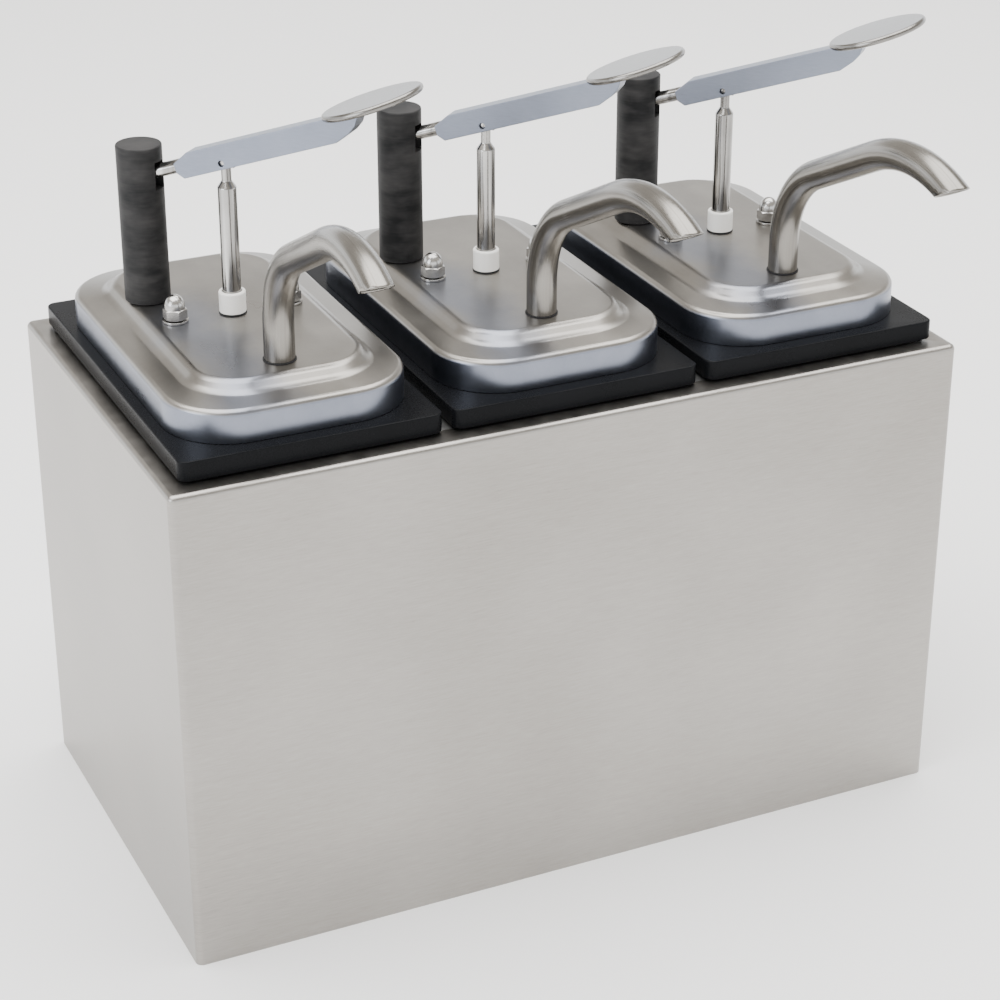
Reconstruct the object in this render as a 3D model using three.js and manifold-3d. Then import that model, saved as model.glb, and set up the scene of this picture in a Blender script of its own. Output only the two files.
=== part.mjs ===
// Countertop condiment pump dispenser: a folded stainless casing that holds three lift-out containers,
// each under a pressed steel lid that carries its own lever pump and spout.
// Millimetres, +Z up. The origin is the middle of the casing's base, and the spouts point to -Y.
import * as THREE from "three";
import { mergeVertices } from "three/addons/utils/BufferGeometryUtils.js";
import Module from "manifold-3d";

const wasm = await Module();
wasm.setup();

// ---- Driving dimensions ------------------------------------------------------------------------
const UNITS = 3;
const GAP = 0.3; // between two pieces that touch

// Container: a deep plastic bin of quarter gastronorm size with a thick square-edged flange.
const FLANGE_WIDTH = 162;
const FLANGE_LENGTH = 266;
const FLANGE_THICKNESS = 12;
const FLANGE_CORNER = 6;
const FLANGE_SPACING = 7; // between the flanges of two neighbours
const SEAT_HEIGHT = 1.7; // raised seat under the flange, set in from its edge
const SEAT_INSET = 3;
const BIN_DEPTH = 200; // from the flange's top to the outside of the floor
const BIN_WALL = 3.5;
const BIN_CORNER = 36;
const FLANGE_SIDE_OVERHANG = 8.5; // flange beyond the bin's wall, left and right
const FLANGE_END_OVERHANG = 11.5; // the same, front and back

// Casing: folded sheet with a turned-in rim round the opening.
const CASING_HEIGHT = 317;
const CASING_SHEET = 1.5;
const CASING_BEND = 3.5; // outside radius of the fold round the rim
const CASING_CORNER = 4.5;
const RIM_SIDE_MARGIN = 11; // from the flanges to the casing's outside, left and right
const RIM_END_MARGIN = 12; // the same, front and back
const RIM_SIDE_BEARING = 5; // how far a flange reaches over the rim
const RIM_END_BEARING = 7;
const PAN_HEIGHT = 20;
const FRAME_HEIGHT = 14;
const CROSS_BAR_WIDTH = 18;

// Lid: pressed sheet with a skirt, a flat border and a raised middle panel.
const LID_SHEET = 1.2;
const LID_SIDE_INSET = 7; // from the flange's edge to the skirt
const LID_END_INSET = 10;
const LID_CORNER = 42;
const LID_BORDER_HEIGHT = 20; // top of the border above the flange
const LID_PANEL_HEIGHT = 29; // top of the middle panel above the flange
const LID_BORDER = 17;
const LID_EDGE_ROUND = 3.5;
const PANEL_SLOPE = 8; // width of the slope between border and panel

// Post, lever and thumb pad.
const POST_DIAMETER = 28;
const POST_HEIGHT = 98.7;
const POST_SCREW_LENGTH = 34; // of the screw above the lid
const SCREW_HEAD_ACROSS = 13;
const SCREW_HEAD_HEIGHT = 5.3;
const POST_EDGE_X = 13.5; // post centre to the panel's side edge
const POST_BACK = 43.5; // post centre behind the plunger
const PIVOT_BELOW_TOP = 19.7;
const PIVOT_ROD_DIAMETER = 8.4;
const PIVOT_ROD_SOCKET = 14; // depth of the rod in the bar's end
const PIVOT_ROD_BEHIND = 6; // past the pivot
const PIVOT_PIN_DIAMETER = 4;
const PIN_HOLE_END = 10.5; // the pin's blind hole, from the post's middle
const LEVER_SLOPE = 19; // degrees above level at rest
const LEVER_TRAVEL = 22; // degrees that the lever is pressed down
const LEVER_WIDTH = 12;
const LEVER_HEIGHT = 15;
const LEVER_START = 29; // from the pivot, along the bar
const LEVER_END = 159;
const PAD_DIAMETER = 61;
const PAD_THICKNESS = 4;
const PAD_OVERHANG = 8.8; // pad centre beyond the bar's end
const ROD_PIN_DIAMETER = 3.4;
const ROD_PIN_DROP = 3.7; // pin centre below the bar's middle line

// Push rod, bush and the parts of the pump below the lid.
const ROD_DIAMETER = 11.5;
const NECK_DIAMETER = 6;
const NECK_LENGTH = 16; // from the rod's shoulder to the pin
const SHOULDER_LENGTH = 4;
const EYE_THICKNESS = 4;
const EYE_HEIGHT = 4.2; // above the pin
const BUSH_WALL = 1.25; // round the rod, below the lid
const BUSH_COLLAR = 0.95; // how far the bush reaches over the lid
const BUSH_HEIGHT = 14;
const NUT_EDGE_X = 16.5; // nut centre to the panel's side edge
const NUT_ACROSS_FLATS = 13;
const NUT_HEIGHT = 15;
const NUT_HEX_HEIGHT = 7;
const WASHER_THICKNESS = 1.6;
const STUD_DIAMETER = 8;
const STUD_GRIP = 8; // depth of the nut's stud in the pump's head plate
const HEAD_WIDTH_PAST_STUD = 10.5;
const HEAD_LENGTH = 46;
const HEAD_THICKNESS = 10;
const CYLINDER_BORE = 34;
const CYLINDER_WALL = 3;
const CYLINDER_ROOF = 4.5; // between the bore and the bush's socket
const BUSH_SOCKET_DEPTH = 14;
const PISTON_LENGTH = 16;
const PISTON_HEADROOM = 6; // between the piston at rest and the roof
const PISTON_SPIGOT = 8;
const FLOOR_CLEARANCE = 15; // below the foot valve
const FOOT_FLANGE = 8;
const FOOT_SPIGOT = 42;
const INLET_DIAMETER = 10;
const BALL_DIAMETER = 14;
const BALL_LIFT = 8;
const SPRING_WIRE = 2.2;
const SPRING_CLEARANCE = 2.9; // between the spring and the bore
const SPRING_TURNS = 6;

// Spout and the riser that feeds it.
const SPOUT_EDGE_Y = 22; // spout centre to the panel's front edge
const SPOUT_DIAMETER = 18.5;
const SPOUT_WALL = 1.5;
const SPOUT_SOCKET_DEPTH = 20;
const SPOUT_RISE = 19.5; // straight stretch above the panel
const SPOUT_FIRST_BEND = 60;
const SPOUT_SLOPE = 26.2; // degrees above level
const SPOUT_RUN = 68.5;
const SPOUT_SECOND_BEND = 96;
const SPOUT_FALL = 22.5; // degrees below level at the outlet
const SPOUT_CUT = 28.5; // degrees from level to the outlet's cut, which faces down and forward
const SPOUT_TURNS = [-3, 0, 0]; // degrees that each spout stands turned at rest
const RISER_DIAMETER = 27;
const RISER_BORE = 14;
const PORT_DIAMETER = 12;
const PORT_CLEARANCE = 6; // of the port above the foot valve
const ARM_WIDTH = 22;

// ---- Sizes that follow -------------------------------------------------------------------------
const PITCH = FLANGE_WIDTH + FLANGE_SPACING;
const CASING_WIDTH = UNITS * PITCH - FLANGE_SPACING + 2 * RIM_SIDE_MARGIN;
const CASING_DEPTH = FLANGE_LENGTH + 2 * RIM_END_MARGIN;
const RIM_OPENING_WIDTH = CASING_WIDTH - 2 * (RIM_SIDE_MARGIN + RIM_SIDE_BEARING);
const RIM_OPENING_LENGTH = CASING_DEPTH - 2 * (RIM_END_MARGIN + RIM_END_BEARING);

const SEAT_BOTTOM = CASING_HEIGHT + GAP;
const FLANGE_BOTTOM = SEAT_BOTTOM + SEAT_HEIGHT;
const FLANGE_TOP = FLANGE_BOTTOM + FLANGE_THICKNESS;
const BIN_WIDTH = FLANGE_WIDTH - 2 * FLANGE_SIDE_OVERHANG;
const BIN_LENGTH = FLANGE_LENGTH - 2 * FLANGE_END_OVERHANG;
const BIN_BOTTOM = FLANGE_TOP - BIN_DEPTH;
const BIN_FLOOR = BIN_BOTTOM + BIN_WALL;

const LID_WIDTH = FLANGE_WIDTH - 2 * LID_SIDE_INSET;
const LID_LENGTH = FLANGE_LENGTH - 2 * LID_END_INSET;
const LID_BOTTOM = FLANGE_TOP + GAP;
const BORDER_TOP = FLANGE_TOP + LID_BORDER_HEIGHT;
const PANEL_TOP = FLANGE_TOP + LID_PANEL_HEIGHT;
const PANEL_HALF_WIDTH = LID_WIDTH / 2 - LID_BORDER - PANEL_SLOPE / 2;
const PANEL_HALF_LENGTH = LID_LENGTH / 2 - LID_BORDER - PANEL_SLOPE / 2;

const POST_X = POST_EDGE_X - PANEL_HALF_WIDTH;
const POST_BOTTOM = PANEL_TOP + GAP;
const POST_TOP = POST_BOTTOM + POST_HEIGHT;
const PIVOT_Z = POST_TOP - PIVOT_BELOW_TOP;
const POST_REACH = Math.hypot(POST_X, POST_BACK); // pivot to plunger, in plan
const LEVER_HEADING = Math.atan2(-POST_BACK, -POST_X);
const SLOPE = THREE.MathUtils.degToRad(LEVER_SLOPE);
const TRAVEL = THREE.MathUtils.degToRad(LEVER_TRAVEL);
// The pin hangs below the bar's middle line, so its place along the bar is found from the reach.
const PIN_ALONG = (POST_REACH - ROD_PIN_DROP * Math.sin(SLOPE)) / Math.cos(SLOPE);
const PIN_RADIUS = Math.hypot(PIN_ALONG, ROD_PIN_DROP);
const PIN_ANGLE = Math.atan2(PIN_ALONG * Math.sin(SLOPE) - ROD_PIN_DROP * Math.cos(SLOPE), POST_REACH);
const PIN_Z = PIVOT_Z + PIN_RADIUS * Math.sin(PIN_ANGLE);
const PIN_SWING = PIN_RADIUS - POST_REACH; // how far the pin moves out as the lever passes level
const STROKE = PIN_RADIUS * (Math.sin(PIN_ANGLE) - Math.sin(PIN_ANGLE - TRAVEL));

const HEAD_TOP = PANEL_TOP - LID_SHEET - GAP;
const HEAD_BOTTOM = HEAD_TOP - HEAD_THICKNESS;
const SOCKET_BOTTOM = HEAD_TOP - BUSH_SOCKET_DEPTH;
const BORE_TOP = SOCKET_BOTTOM - CYLINDER_ROOF;
const NUT_X = PANEL_HALF_WIDTH - NUT_EDGE_X;
const NUT_BOTTOM = PANEL_TOP + WASHER_THICKNESS + 2 * GAP;
const STUD_BOTTOM = HEAD_TOP - STUD_GRIP;
const BUSH_STEM_DIAMETER = ROD_DIAMETER + 2 * (GAP + BUSH_WALL);
const BUSH_DIAMETER = BUSH_STEM_DIAMETER + 2 * BUSH_COLLAR;
const CYLINDER_DIAMETER = CYLINDER_BORE + 2 * CYLINDER_WALL;
const FOOT_BOTTOM = BIN_FLOOR + FLOOR_CLEARANCE;
const CYLINDER_BOTTOM = FOOT_BOTTOM + FOOT_FLANGE + GAP;
const SPRING_SEAT = CYLINDER_BOTTOM + FOOT_SPIGOT;
const SPRING_DIAMETER = CYLINDER_BORE - 2 * SPRING_CLEARANCE - SPRING_WIRE; // to the middle of the wire
const PISTON_TOP = BORE_TOP - PISTON_HEADROOM;
const PISTON_BOTTOM = PISTON_TOP - PISTON_LENGTH;
const SPOUT_Y = SPOUT_EDGE_Y - PANEL_HALF_LENGTH;
const ARM_HEIGHT = PORT_DIAMETER + 8;
const PORT_Z = SPRING_SEAT + PORT_CLEARANCE + PORT_DIAMETER;
const RISER_BOTTOM = PORT_Z - ARM_HEIGHT / 2 - 1;

// ---- Materials ---------------------------------------------------------------------------------
const finish = (color, roughness, metalness) =>
  new THREE.MeshStandardMaterial({ color, roughness, metalness });
const BRUSHED_STEEL = finish(0xb9b6b0, 0.38, 0.95);
const SATIN_STEEL = finish(0xa9a59e, 0.3, 1);
const BRIGHT_STEEL = finish(0xd4d2cf, 0.16, 1);
const LEVER_STEEL = finish(0xaab0bf, 0.35, 0.6);
const BLACK_PLASTIC = finish(0x1b1c1f, 0.45, 0);
const POST_PLASTIC = finish(0x35363a, 0.65, 0);
const WHITE_PLASTIC = finish(0xf1efea, 0.4, 0);
const SPRING_STEEL = finish(0x8f9094, 0.3, 1);

// ---- Geometry helpers --------------------------------------------------------------------------
const ROUND = 16; // sides of a large round piece
const SMALL_ROUND = 8;

function solid(geometry) {
  const plain = new THREE.BufferGeometry().setAttribute("position", geometry.getAttribute("position"));
  if (geometry.index) plain.setIndex(geometry.index);
  const merged = mergeVertices(plain, 1e-4);
  return new wasm.Manifold(
    new wasm.Mesh({
      numProp: 3,
      vertProperties: merged.attributes.position.array,
      triVerts: new Uint32Array(merged.index.array),
    }),
  );
}

const join = (first, ...others) => others.reduce((sum, next) => sum.add(next), first);
const cut = (stock, ...tools) => tools.reduce((rest, tool) => rest.subtract(tool), stock);

function mesh(name, body, material) {
  const made = body.getMesh();
  const geometry = new THREE.BufferGeometry();
  geometry.setAttribute("position", new THREE.BufferAttribute(made.vertProperties, 3));
  geometry.setIndex(new THREE.BufferAttribute(made.triVerts, 1));
  geometry.computeVertexNormals();
  const piece = new THREE.Mesh(geometry, material);
  piece.name = name;
  return piece;
}

// Half the number of straight steps in a quarter-circle corner.
const cornerSteps = (radius) => (radius > 20 ? 2 : 1);

function roundedRectangle(width, length, radius) {
  const x = width / 2 - radius;
  const y = length / 2 - radius;
  const shape = new THREE.Shape();
  shape.absarc(x, -y, radius, -Math.PI / 2, 0);
  shape.absarc(x, y, radius, 0, Math.PI / 2);
  shape.absarc(-x, y, radius, Math.PI / 2, Math.PI);
  shape.absarc(-x, -y, radius, Math.PI, 1.5 * Math.PI);
  return shape;
}

// An upright block with rounded vertical corners, centred on (x, y).
function block(width, length, radius, bottom, top, x = 0, y = 0) {
  const options = { depth: top - bottom, bevelEnabled: false, curveSegments: cornerSteps(radius) };
  const geometry = new THREE.ExtrudeGeometry(roundedRectangle(width, length, radius), options);
  return solid(geometry.translate(x, y, bottom));
}

// The same block with its top edge rounded over: inwards by across, and down by fall.
function domedBlock(width, length, radius, bottom, top, across, fall) {
  const options = {
    depth: top - bottom - fall,
    bevelThickness: fall,
    bevelSize: across,
    bevelOffset: -across,
    bevelSegments: 2,
    curveSegments: cornerSteps(radius),
  };
  const geometry = new THREE.ExtrudeGeometry(roundedRectangle(width, length, radius), options);
  const below = box(2 * width, 2 * length, 2 * fall, 0, 0, bottom - fall);
  return cut(solid(geometry.translate(0, 0, bottom)), below);
}

function box(width, length, height, x, y, z, turn = 0) {
  const geometry = new THREE.BoxGeometry(width, length, height);
  return solid(geometry.rotateZ(turn).translate(x, y, z));
}

// An upright cylinder.
function pillar(diameter, bottom, top, x = 0, y = 0, sides = ROUND) {
  const geometry = new THREE.CylinderGeometry(diameter / 2, diameter / 2, top - bottom, sides);
  return solid(geometry.rotateX(Math.PI / 2).translate(x, y, (top + bottom) / 2));
}

// A level cylinder that runs along the heading, centred on (x, y, z).
function bar(diameter, length, heading, x, y, z, sides = SMALL_ROUND) {
  const geometry = new THREE.CylinderGeometry(diameter / 2, diameter / 2, length, sides);
  return solid(geometry.rotateZ(-Math.PI / 2).rotateZ(heading).translate(x, y, z));
}

// A turned piece from (radius, height) pairs, listed with the material on their left.
function turned(outline, sides = ROUND, x = 0) {
  const points = outline.map(([radius, height]) => new THREE.Vector2(radius, height));
  return solid(new THREE.LatheGeometry(points, sides).rotateX(Math.PI / 2).translate(x, 0, 0));
}

// A round bar along a curve. A full circle takes two sides from each of its curve segments.
function sweep(diameter, curve, steps, sides) {
  const section = new THREE.Shape().absarc(0, 0, diameter / 2, 0, 2 * Math.PI);
  const options = { steps, extrudePath: curve, bevelEnabled: false, curveSegments: sides / 2 };
  return solid(new THREE.ExtrudeGeometry(section, options));
}

// ---- Casing ------------------------------------------------------------------------------------
function casingShell() {
  const inner = CASING_CORNER - CASING_SHEET;
  return cut(
    domedBlock(CASING_WIDTH, CASING_DEPTH, CASING_CORNER, 0, CASING_HEIGHT, CASING_BEND, CASING_BEND),
    block(
      CASING_WIDTH - 2 * CASING_SHEET,
      CASING_DEPTH - 2 * CASING_SHEET,
      inner,
      -1,
      CASING_HEIGHT - CASING_SHEET,
    ),
    block(RIM_OPENING_WIDTH, RIM_OPENING_LENGTH, inner, 0, CASING_HEIGHT + 1),
  );
}

// The pan and the frame fit inside the casing's walls.
const LINING_WIDTH = CASING_WIDTH - 2 * (CASING_SHEET + GAP);
const LINING_DEPTH = CASING_DEPTH - 2 * (CASING_SHEET + GAP);

function basePan() {
  return cut(
    block(LINING_WIDTH, LINING_DEPTH, CASING_BEND, 0, PAN_HEIGHT),
    block(LINING_WIDTH - 2 * CASING_SHEET, LINING_DEPTH - 2 * CASING_SHEET, 2, CASING_SHEET, PAN_HEIGHT + 1),
  );
}

// An angle-section frame under the rim, with a folded cross bar between each two containers.
function supportFrame() {
  const top = CASING_HEIGHT - CASING_SHEET - GAP;
  const bottom = top - FRAME_HEIGHT;
  const ring = cut(
    block(LINING_WIDTH, LINING_DEPTH, CASING_BEND, bottom, top),
    block(
      LINING_WIDTH - 2 * CASING_SHEET,
      LINING_DEPTH - 2 * CASING_SHEET,
      2,
      bottom - 1,
      top - CASING_SHEET,
    ),
    block(RIM_OPENING_WIDTH, RIM_OPENING_LENGTH, 2, bottom, top + 1),
  );
  const bars = [];
  for (let i = 1; i < UNITS; i += 1) {
    const x = (i - UNITS / 2) * PITCH;
    const underRim = RIM_OPENING_LENGTH + RIM_END_BEARING;
    const channel = cut(
      join(
        box(CROSS_BAR_WIDTH, underRim, top - bottom, x, 0, (top + bottom) / 2),
        box(
          CROSS_BAR_WIDTH,
          RIM_OPENING_LENGTH - 2 * GAP,
          CASING_HEIGHT - bottom,
          x,
          0,
          (CASING_HEIGHT + bottom) / 2,
        ),
      ),
      box(CROSS_BAR_WIDTH - 2 * CASING_SHEET, underRim + 2, 2 * FRAME_HEIGHT, x, 0, top - 1 - FRAME_HEIGHT),
    );
    bars.push(channel);
  }
  return join(ring, ...bars);
}

// ---- Container and lid -------------------------------------------------------------------------
function container() {
  return cut(
    join(
      block(FLANGE_WIDTH, FLANGE_LENGTH, FLANGE_CORNER, FLANGE_BOTTOM, FLANGE_TOP),
      block(
        FLANGE_WIDTH - 2 * SEAT_INSET,
        FLANGE_LENGTH - 2 * SEAT_INSET,
        FLANGE_CORNER,
        SEAT_BOTTOM,
        FLANGE_BOTTOM + 1,
      ),
      block(BIN_WIDTH, BIN_LENGTH, BIN_CORNER, BIN_BOTTOM, FLANGE_BOTTOM + 1),
    ),
    block(
      BIN_WIDTH - 2 * BIN_WALL,
      BIN_LENGTH - 2 * BIN_WALL,
      BIN_CORNER - BIN_WALL,
      BIN_FLOOR,
      FLANGE_TOP + 1,
    ),
  );
}

// The outside of the pressing, shrunk by inset on every side for its inside.
function lidForm(inset) {
  const width = LID_WIDTH - 2 * inset;
  const length = LID_LENGTH - 2 * inset;
  const panelWidth = 2 * PANEL_HALF_WIDTH + PANEL_SLOPE - 2 * inset;
  const panelLength = 2 * PANEL_HALF_LENGTH + PANEL_SLOPE - 2 * inset;
  const edge = LID_EDGE_ROUND - inset;
  return join(
    domedBlock(width, length, LID_CORNER - inset, LID_BOTTOM - inset, BORDER_TOP - inset, edge, edge),
    domedBlock(
      panelWidth,
      panelLength,
      LID_CORNER - LID_BORDER / 2 - inset,
      LID_BOTTOM - inset,
      PANEL_TOP - inset,
      PANEL_SLOPE,
      LID_PANEL_HEIGHT - LID_BORDER_HEIGHT,
    ),
  );
}

function lid() {
  const below = HEAD_BOTTOM;
  const above = PANEL_TOP + 1;
  return cut(
    lidForm(0),
    lidForm(LID_SHEET),
    pillar(BUSH_STEM_DIAMETER + 2 * GAP, below, above),
    pillar(SPOUT_DIAMETER + 2 * GAP, below, above, 0, SPOUT_Y),
    pillar(STUD_DIAMETER + 2 * GAP, below, above, -NUT_X, 0, SMALL_ROUND),
    pillar(STUD_DIAMETER + 2 * GAP, below, above, NUT_X, 0, SMALL_ROUND),
    pillar(STUD_DIAMETER + 2 * GAP, below, above, POST_X, POST_BACK, SMALL_ROUND),
  );
}

// ---- Post, lever and thumb pad -----------------------------------------------------------------
// A level bar across the lever's heading, from before the post's middle to behind it.
function crossBar(diameter, before, behind) {
  const across = LEVER_HEADING + Math.PI / 2;
  const middle = (behind - before) / 2;
  const x = POST_X + middle * Math.cos(across);
  const y = POST_BACK + middle * Math.sin(across);
  return bar(diameter, before + behind, across, x, y, PIVOT_Z);
}

function post() {
  const slotWidth = PIVOT_ROD_DIAMETER + 1;
  const slotDrop = 15; // below the pivot
  const slotRise = 11; // above it
  const slotBack = 8; // behind the pivot, for the end of the rod
  const slotLength = POST_DIAMETER / 2 + slotBack + 1;
  const middle = slotLength / 2 - slotBack;
  const cosine = Math.cos(LEVER_HEADING);
  const sine = Math.sin(LEVER_HEADING);
  return cut(
    pillar(POST_DIAMETER, POST_BOTTOM, POST_TOP, POST_X, POST_BACK, 20),
    box(
      slotLength,
      slotWidth,
      slotRise + slotDrop,
      POST_X + middle * cosine,
      POST_BACK + middle * sine,
      PIVOT_Z + (slotRise - slotDrop) / 2,
      LEVER_HEADING,
    ),
    crossBar(PIVOT_PIN_DIAMETER + 2 * GAP, PIN_HOLE_END, POST_DIAMETER / 2 + 1),
    pillar(
      STUD_DIAMETER + 2 * GAP,
      POST_BOTTOM - 1,
      POST_BOTTOM + POST_SCREW_LENGTH + 3,
      POST_X,
      POST_BACK,
      SMALL_ROUND,
    ),
  );
}

function postScrew() {
  const top = POST_BOTTOM + POST_SCREW_LENGTH;
  return join(
    pillar(SCREW_HEAD_ACROSS, HEAD_TOP - SCREW_HEAD_HEIGHT, HEAD_TOP, POST_X, POST_BACK, 6),
    pillar(STUD_DIAMETER, HEAD_TOP - 1, top, POST_X, POST_BACK, SMALL_ROUND),
  );
}

function pivotPin() {
  return crossBar(PIVOT_PIN_DIAMETER, PIN_HOLE_END - GAP, POST_DIAMETER / 2 - 1);
}

// The lever's pieces are drawn with the pivot at the origin, x along the bar and z across its height.
function leverBar() {
  const half = LEVER_HEIGHT / 2;
  const outline = new THREE.Shape();
  outline.moveTo(LEVER_START, -0.43 * half);
  outline.lineTo(LEVER_START + 4, -half);
  outline.lineTo(LEVER_END - 19, -half);
  outline.lineTo(LEVER_END - 9, -half / 2);
  outline.quadraticCurveTo(LEVER_END - 2, 0, LEVER_END, half);
  outline.lineTo(LEVER_START + 11, half);
  outline.lineTo(LEVER_START, 0.36 * half);
  outline.closePath();
  const options = { depth: LEVER_WIDTH, bevelEnabled: false, curveSegments: 4 };
  const profile = new THREE.ExtrudeGeometry(outline, options);
  profile.rotateX(Math.PI / 2).translate(0, LEVER_WIDTH / 2, 0);
  // The slot for the rod's eye is open below, and the eye slides and turns in it.
  const slotHeight = half - ROD_PIN_DROP + EYE_REACH + 1;
  const slotLength = 2 * (EYE_REACH + PIN_SWING + 1);
  return cut(
    solid(profile),
    box(slotLength, NECK_DIAMETER + 0.8, 2 * slotHeight, PIN_ALONG, 0, -half),
    bar(ROD_PIN_DIAMETER + 2 * GAP, LEVER_WIDTH + 2, Math.PI / 2, PIN_ALONG, 0, -ROD_PIN_DROP),
    bar(PIVOT_ROD_DIAMETER + 2 * GAP, 2 * (PIVOT_ROD_SOCKET + GAP), 0, LEVER_START, 0, 0),
  );
}

function pivotRod() {
  const length = PIVOT_ROD_BEHIND + LEVER_START + PIVOT_ROD_SOCKET;
  return cut(
    bar(PIVOT_ROD_DIAMETER, length, 0, length / 2 - PIVOT_ROD_BEHIND, 0, 0),
    bar(PIVOT_PIN_DIAMETER + 2 * GAP, PIVOT_ROD_DIAMETER + 2, Math.PI / 2, 0, 0, 0),
  );
}

function thumbPad() {
  const round = PAD_THICKNESS / 2;
  const radius = PAD_DIAMETER / 2;
  const outline = [
    [0, 0],
    [radius - round, 0],
    [radius - 0.3 * round, 0.3 * round],
    [radius, round],
    [radius - 0.3 * round, PAD_THICKNESS - 0.3 * round],
    [radius - round, PAD_THICKNESS],
    [0, PAD_THICKNESS],
  ];
  return turned(outline, 24);
}

// ---- Push rod, bush and nuts -------------------------------------------------------------------
const EYE_FRONT = ROD_PIN_DIAMETER / 2 + PIN_SWING + 2.4;
const EYE_REACH = Math.hypot(EYE_FRONT, EYE_HEIGHT);

// The eye is longer than the pin is thick, so the pin can swing out while the rod stays upright.
function pushRod() {
  const shoulder = PIN_Z - NECK_LENGTH;
  const below = ROD_PIN_DIAMETER / 2 + 1.5;
  const eyeLength = EYE_FRONT + NECK_DIAMETER / 2 + 1;
  const eyeMiddle = EYE_FRONT - eyeLength / 2;
  const slack = GAP + 0.15;
  const slotLength = PIN_SWING + ROD_PIN_DIAMETER + 2 * slack;
  const along = [Math.cos(LEVER_HEADING), Math.sin(LEVER_HEADING)];
  const stem = turned([
    [0, PISTON_BOTTOM + 2],
    [PISTON_SPIGOT / 2, PISTON_BOTTOM + 2],
    [PISTON_SPIGOT / 2, PISTON_TOP + GAP],
    [ROD_DIAMETER / 2, PISTON_TOP + GAP],
    [ROD_DIAMETER / 2, shoulder],
    [NECK_DIAMETER / 2, shoulder + SHOULDER_LENGTH],
    [NECK_DIAMETER / 2, PIN_Z - below + 1],
    [0, PIN_Z - below + 1],
  ]);
  const tab = box(
    eyeLength,
    EYE_THICKNESS,
    EYE_HEIGHT + below,
    eyeMiddle * along[0],
    eyeMiddle * along[1],
    PIN_Z + (EYE_HEIGHT - below) / 2,
    LEVER_HEADING,
  );
  const slotMiddle = PIN_SWING / 2;
  const eye = box(
    slotLength,
    EYE_THICKNESS + 4,
    ROD_PIN_DIAMETER + 2 * slack,
    slotMiddle * along[0],
    slotMiddle * along[1],
    PIN_Z,
    LEVER_HEADING,
  );
  return cut(join(stem, tab), eye);
}

function guideBush() {
  const bore = ROD_DIAMETER / 2 + GAP;
  const flange = BUSH_DIAMETER / 2;
  const base = PANEL_TOP + GAP;
  const top = base + BUSH_HEIGHT;
  const stemBottom = SOCKET_BOTTOM + GAP;
  return turned([
    [bore, stemBottom],
    [BUSH_STEM_DIAMETER / 2, stemBottom],
    [BUSH_STEM_DIAMETER / 2, base],
    [flange, base],
    [flange, top - 1.2],
    [flange - 0.4, top - 0.4],
    [flange - 1.2, top],
    [bore, top],
    [bore, stemBottom],
  ]);
}

// A dome nut: a hexagon below a domed cap, fixed on the stud that screws down into the head plate.
function domeNut(x) {
  const hexDiameter = NUT_ACROSS_FLATS / Math.cos(Math.PI / 6);
  const domeRadius = NUT_ACROSS_FLATS / 2 - 0.4;
  const domeBase = NUT_BOTTOM + NUT_HEX_HEIGHT;
  const straight = NUT_HEIGHT - NUT_HEX_HEIGHT - domeRadius;
  const crown = domeBase + straight;
  const outline = [
    [0, domeBase - 1],
    [domeRadius, domeBase - 1],
    [domeRadius, crown],
  ];
  for (const degrees of [30, 60]) {
    const angle = THREE.MathUtils.degToRad(degrees);
    outline.push([domeRadius * Math.cos(angle), crown + domeRadius * Math.sin(angle)]);
  }
  outline.push([0, crown + domeRadius]);
  return join(
    pillar(hexDiameter, NUT_BOTTOM, domeBase, x, 0, 6),
    turned(outline, 12, x),
    pillar(STUD_DIAMETER, STUD_BOTTOM, NUT_BOTTOM + 1, x, 0, SMALL_ROUND),
  );
}

// ---- Pump below the lid ------------------------------------------------------------------------
// One moulding: head plate, cylinder, riser to the spout, and the arm with the port between them.
function pumpBody() {
  const bridgeFront = SPOUT_Y - RISER_DIAMETER / 2 - 1;
  const bridgeWidth = RISER_DIAMETER + 4;
  const moulding = join(
    block(2 * (NUT_X + HEAD_WIDTH_PAST_STUD), HEAD_LENGTH, 8, HEAD_BOTTOM, HEAD_TOP),
    block(bridgeWidth, -bridgeFront, 8, HEAD_BOTTOM, HEAD_TOP, 0, bridgeFront / 2),
    pillar(CYLINDER_DIAMETER, CYLINDER_BOTTOM, HEAD_TOP - 1),
    pillar(RISER_DIAMETER, RISER_BOTTOM, HEAD_TOP - 1, 0, SPOUT_Y),
    box(ARM_WIDTH, -SPOUT_Y, ARM_HEIGHT, 0, SPOUT_Y / 2, PORT_Z),
  );
  return cut(
    moulding,
    pillar(STUD_DIAMETER + 2 * GAP, STUD_BOTTOM - GAP, HEAD_TOP + 1, -NUT_X, 0, SMALL_ROUND),
    pillar(STUD_DIAMETER + 2 * GAP, STUD_BOTTOM - GAP, HEAD_TOP + 1, NUT_X, 0, SMALL_ROUND),
    pillar(CYLINDER_BORE, CYLINDER_BOTTOM - 1, BORE_TOP),
    pillar(ROD_DIAMETER + 2 * GAP, BORE_TOP - 1, HEAD_TOP),
    pillar(BUSH_STEM_DIAMETER + 2 * GAP, SOCKET_BOTTOM, HEAD_TOP + 1),
    pillar(RISER_BORE, PORT_Z - PORT_DIAMETER / 2, HEAD_TOP, 0, SPOUT_Y, SMALL_ROUND),
    pillar(SPOUT_DIAMETER + 2 * GAP, HEAD_TOP - SPOUT_SOCKET_DEPTH, HEAD_TOP + 1, 0, SPOUT_Y),
    bar(PORT_DIAMETER, -SPOUT_Y, Math.PI / 2, 0, SPOUT_Y / 2, PORT_Z),
  );
}

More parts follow.
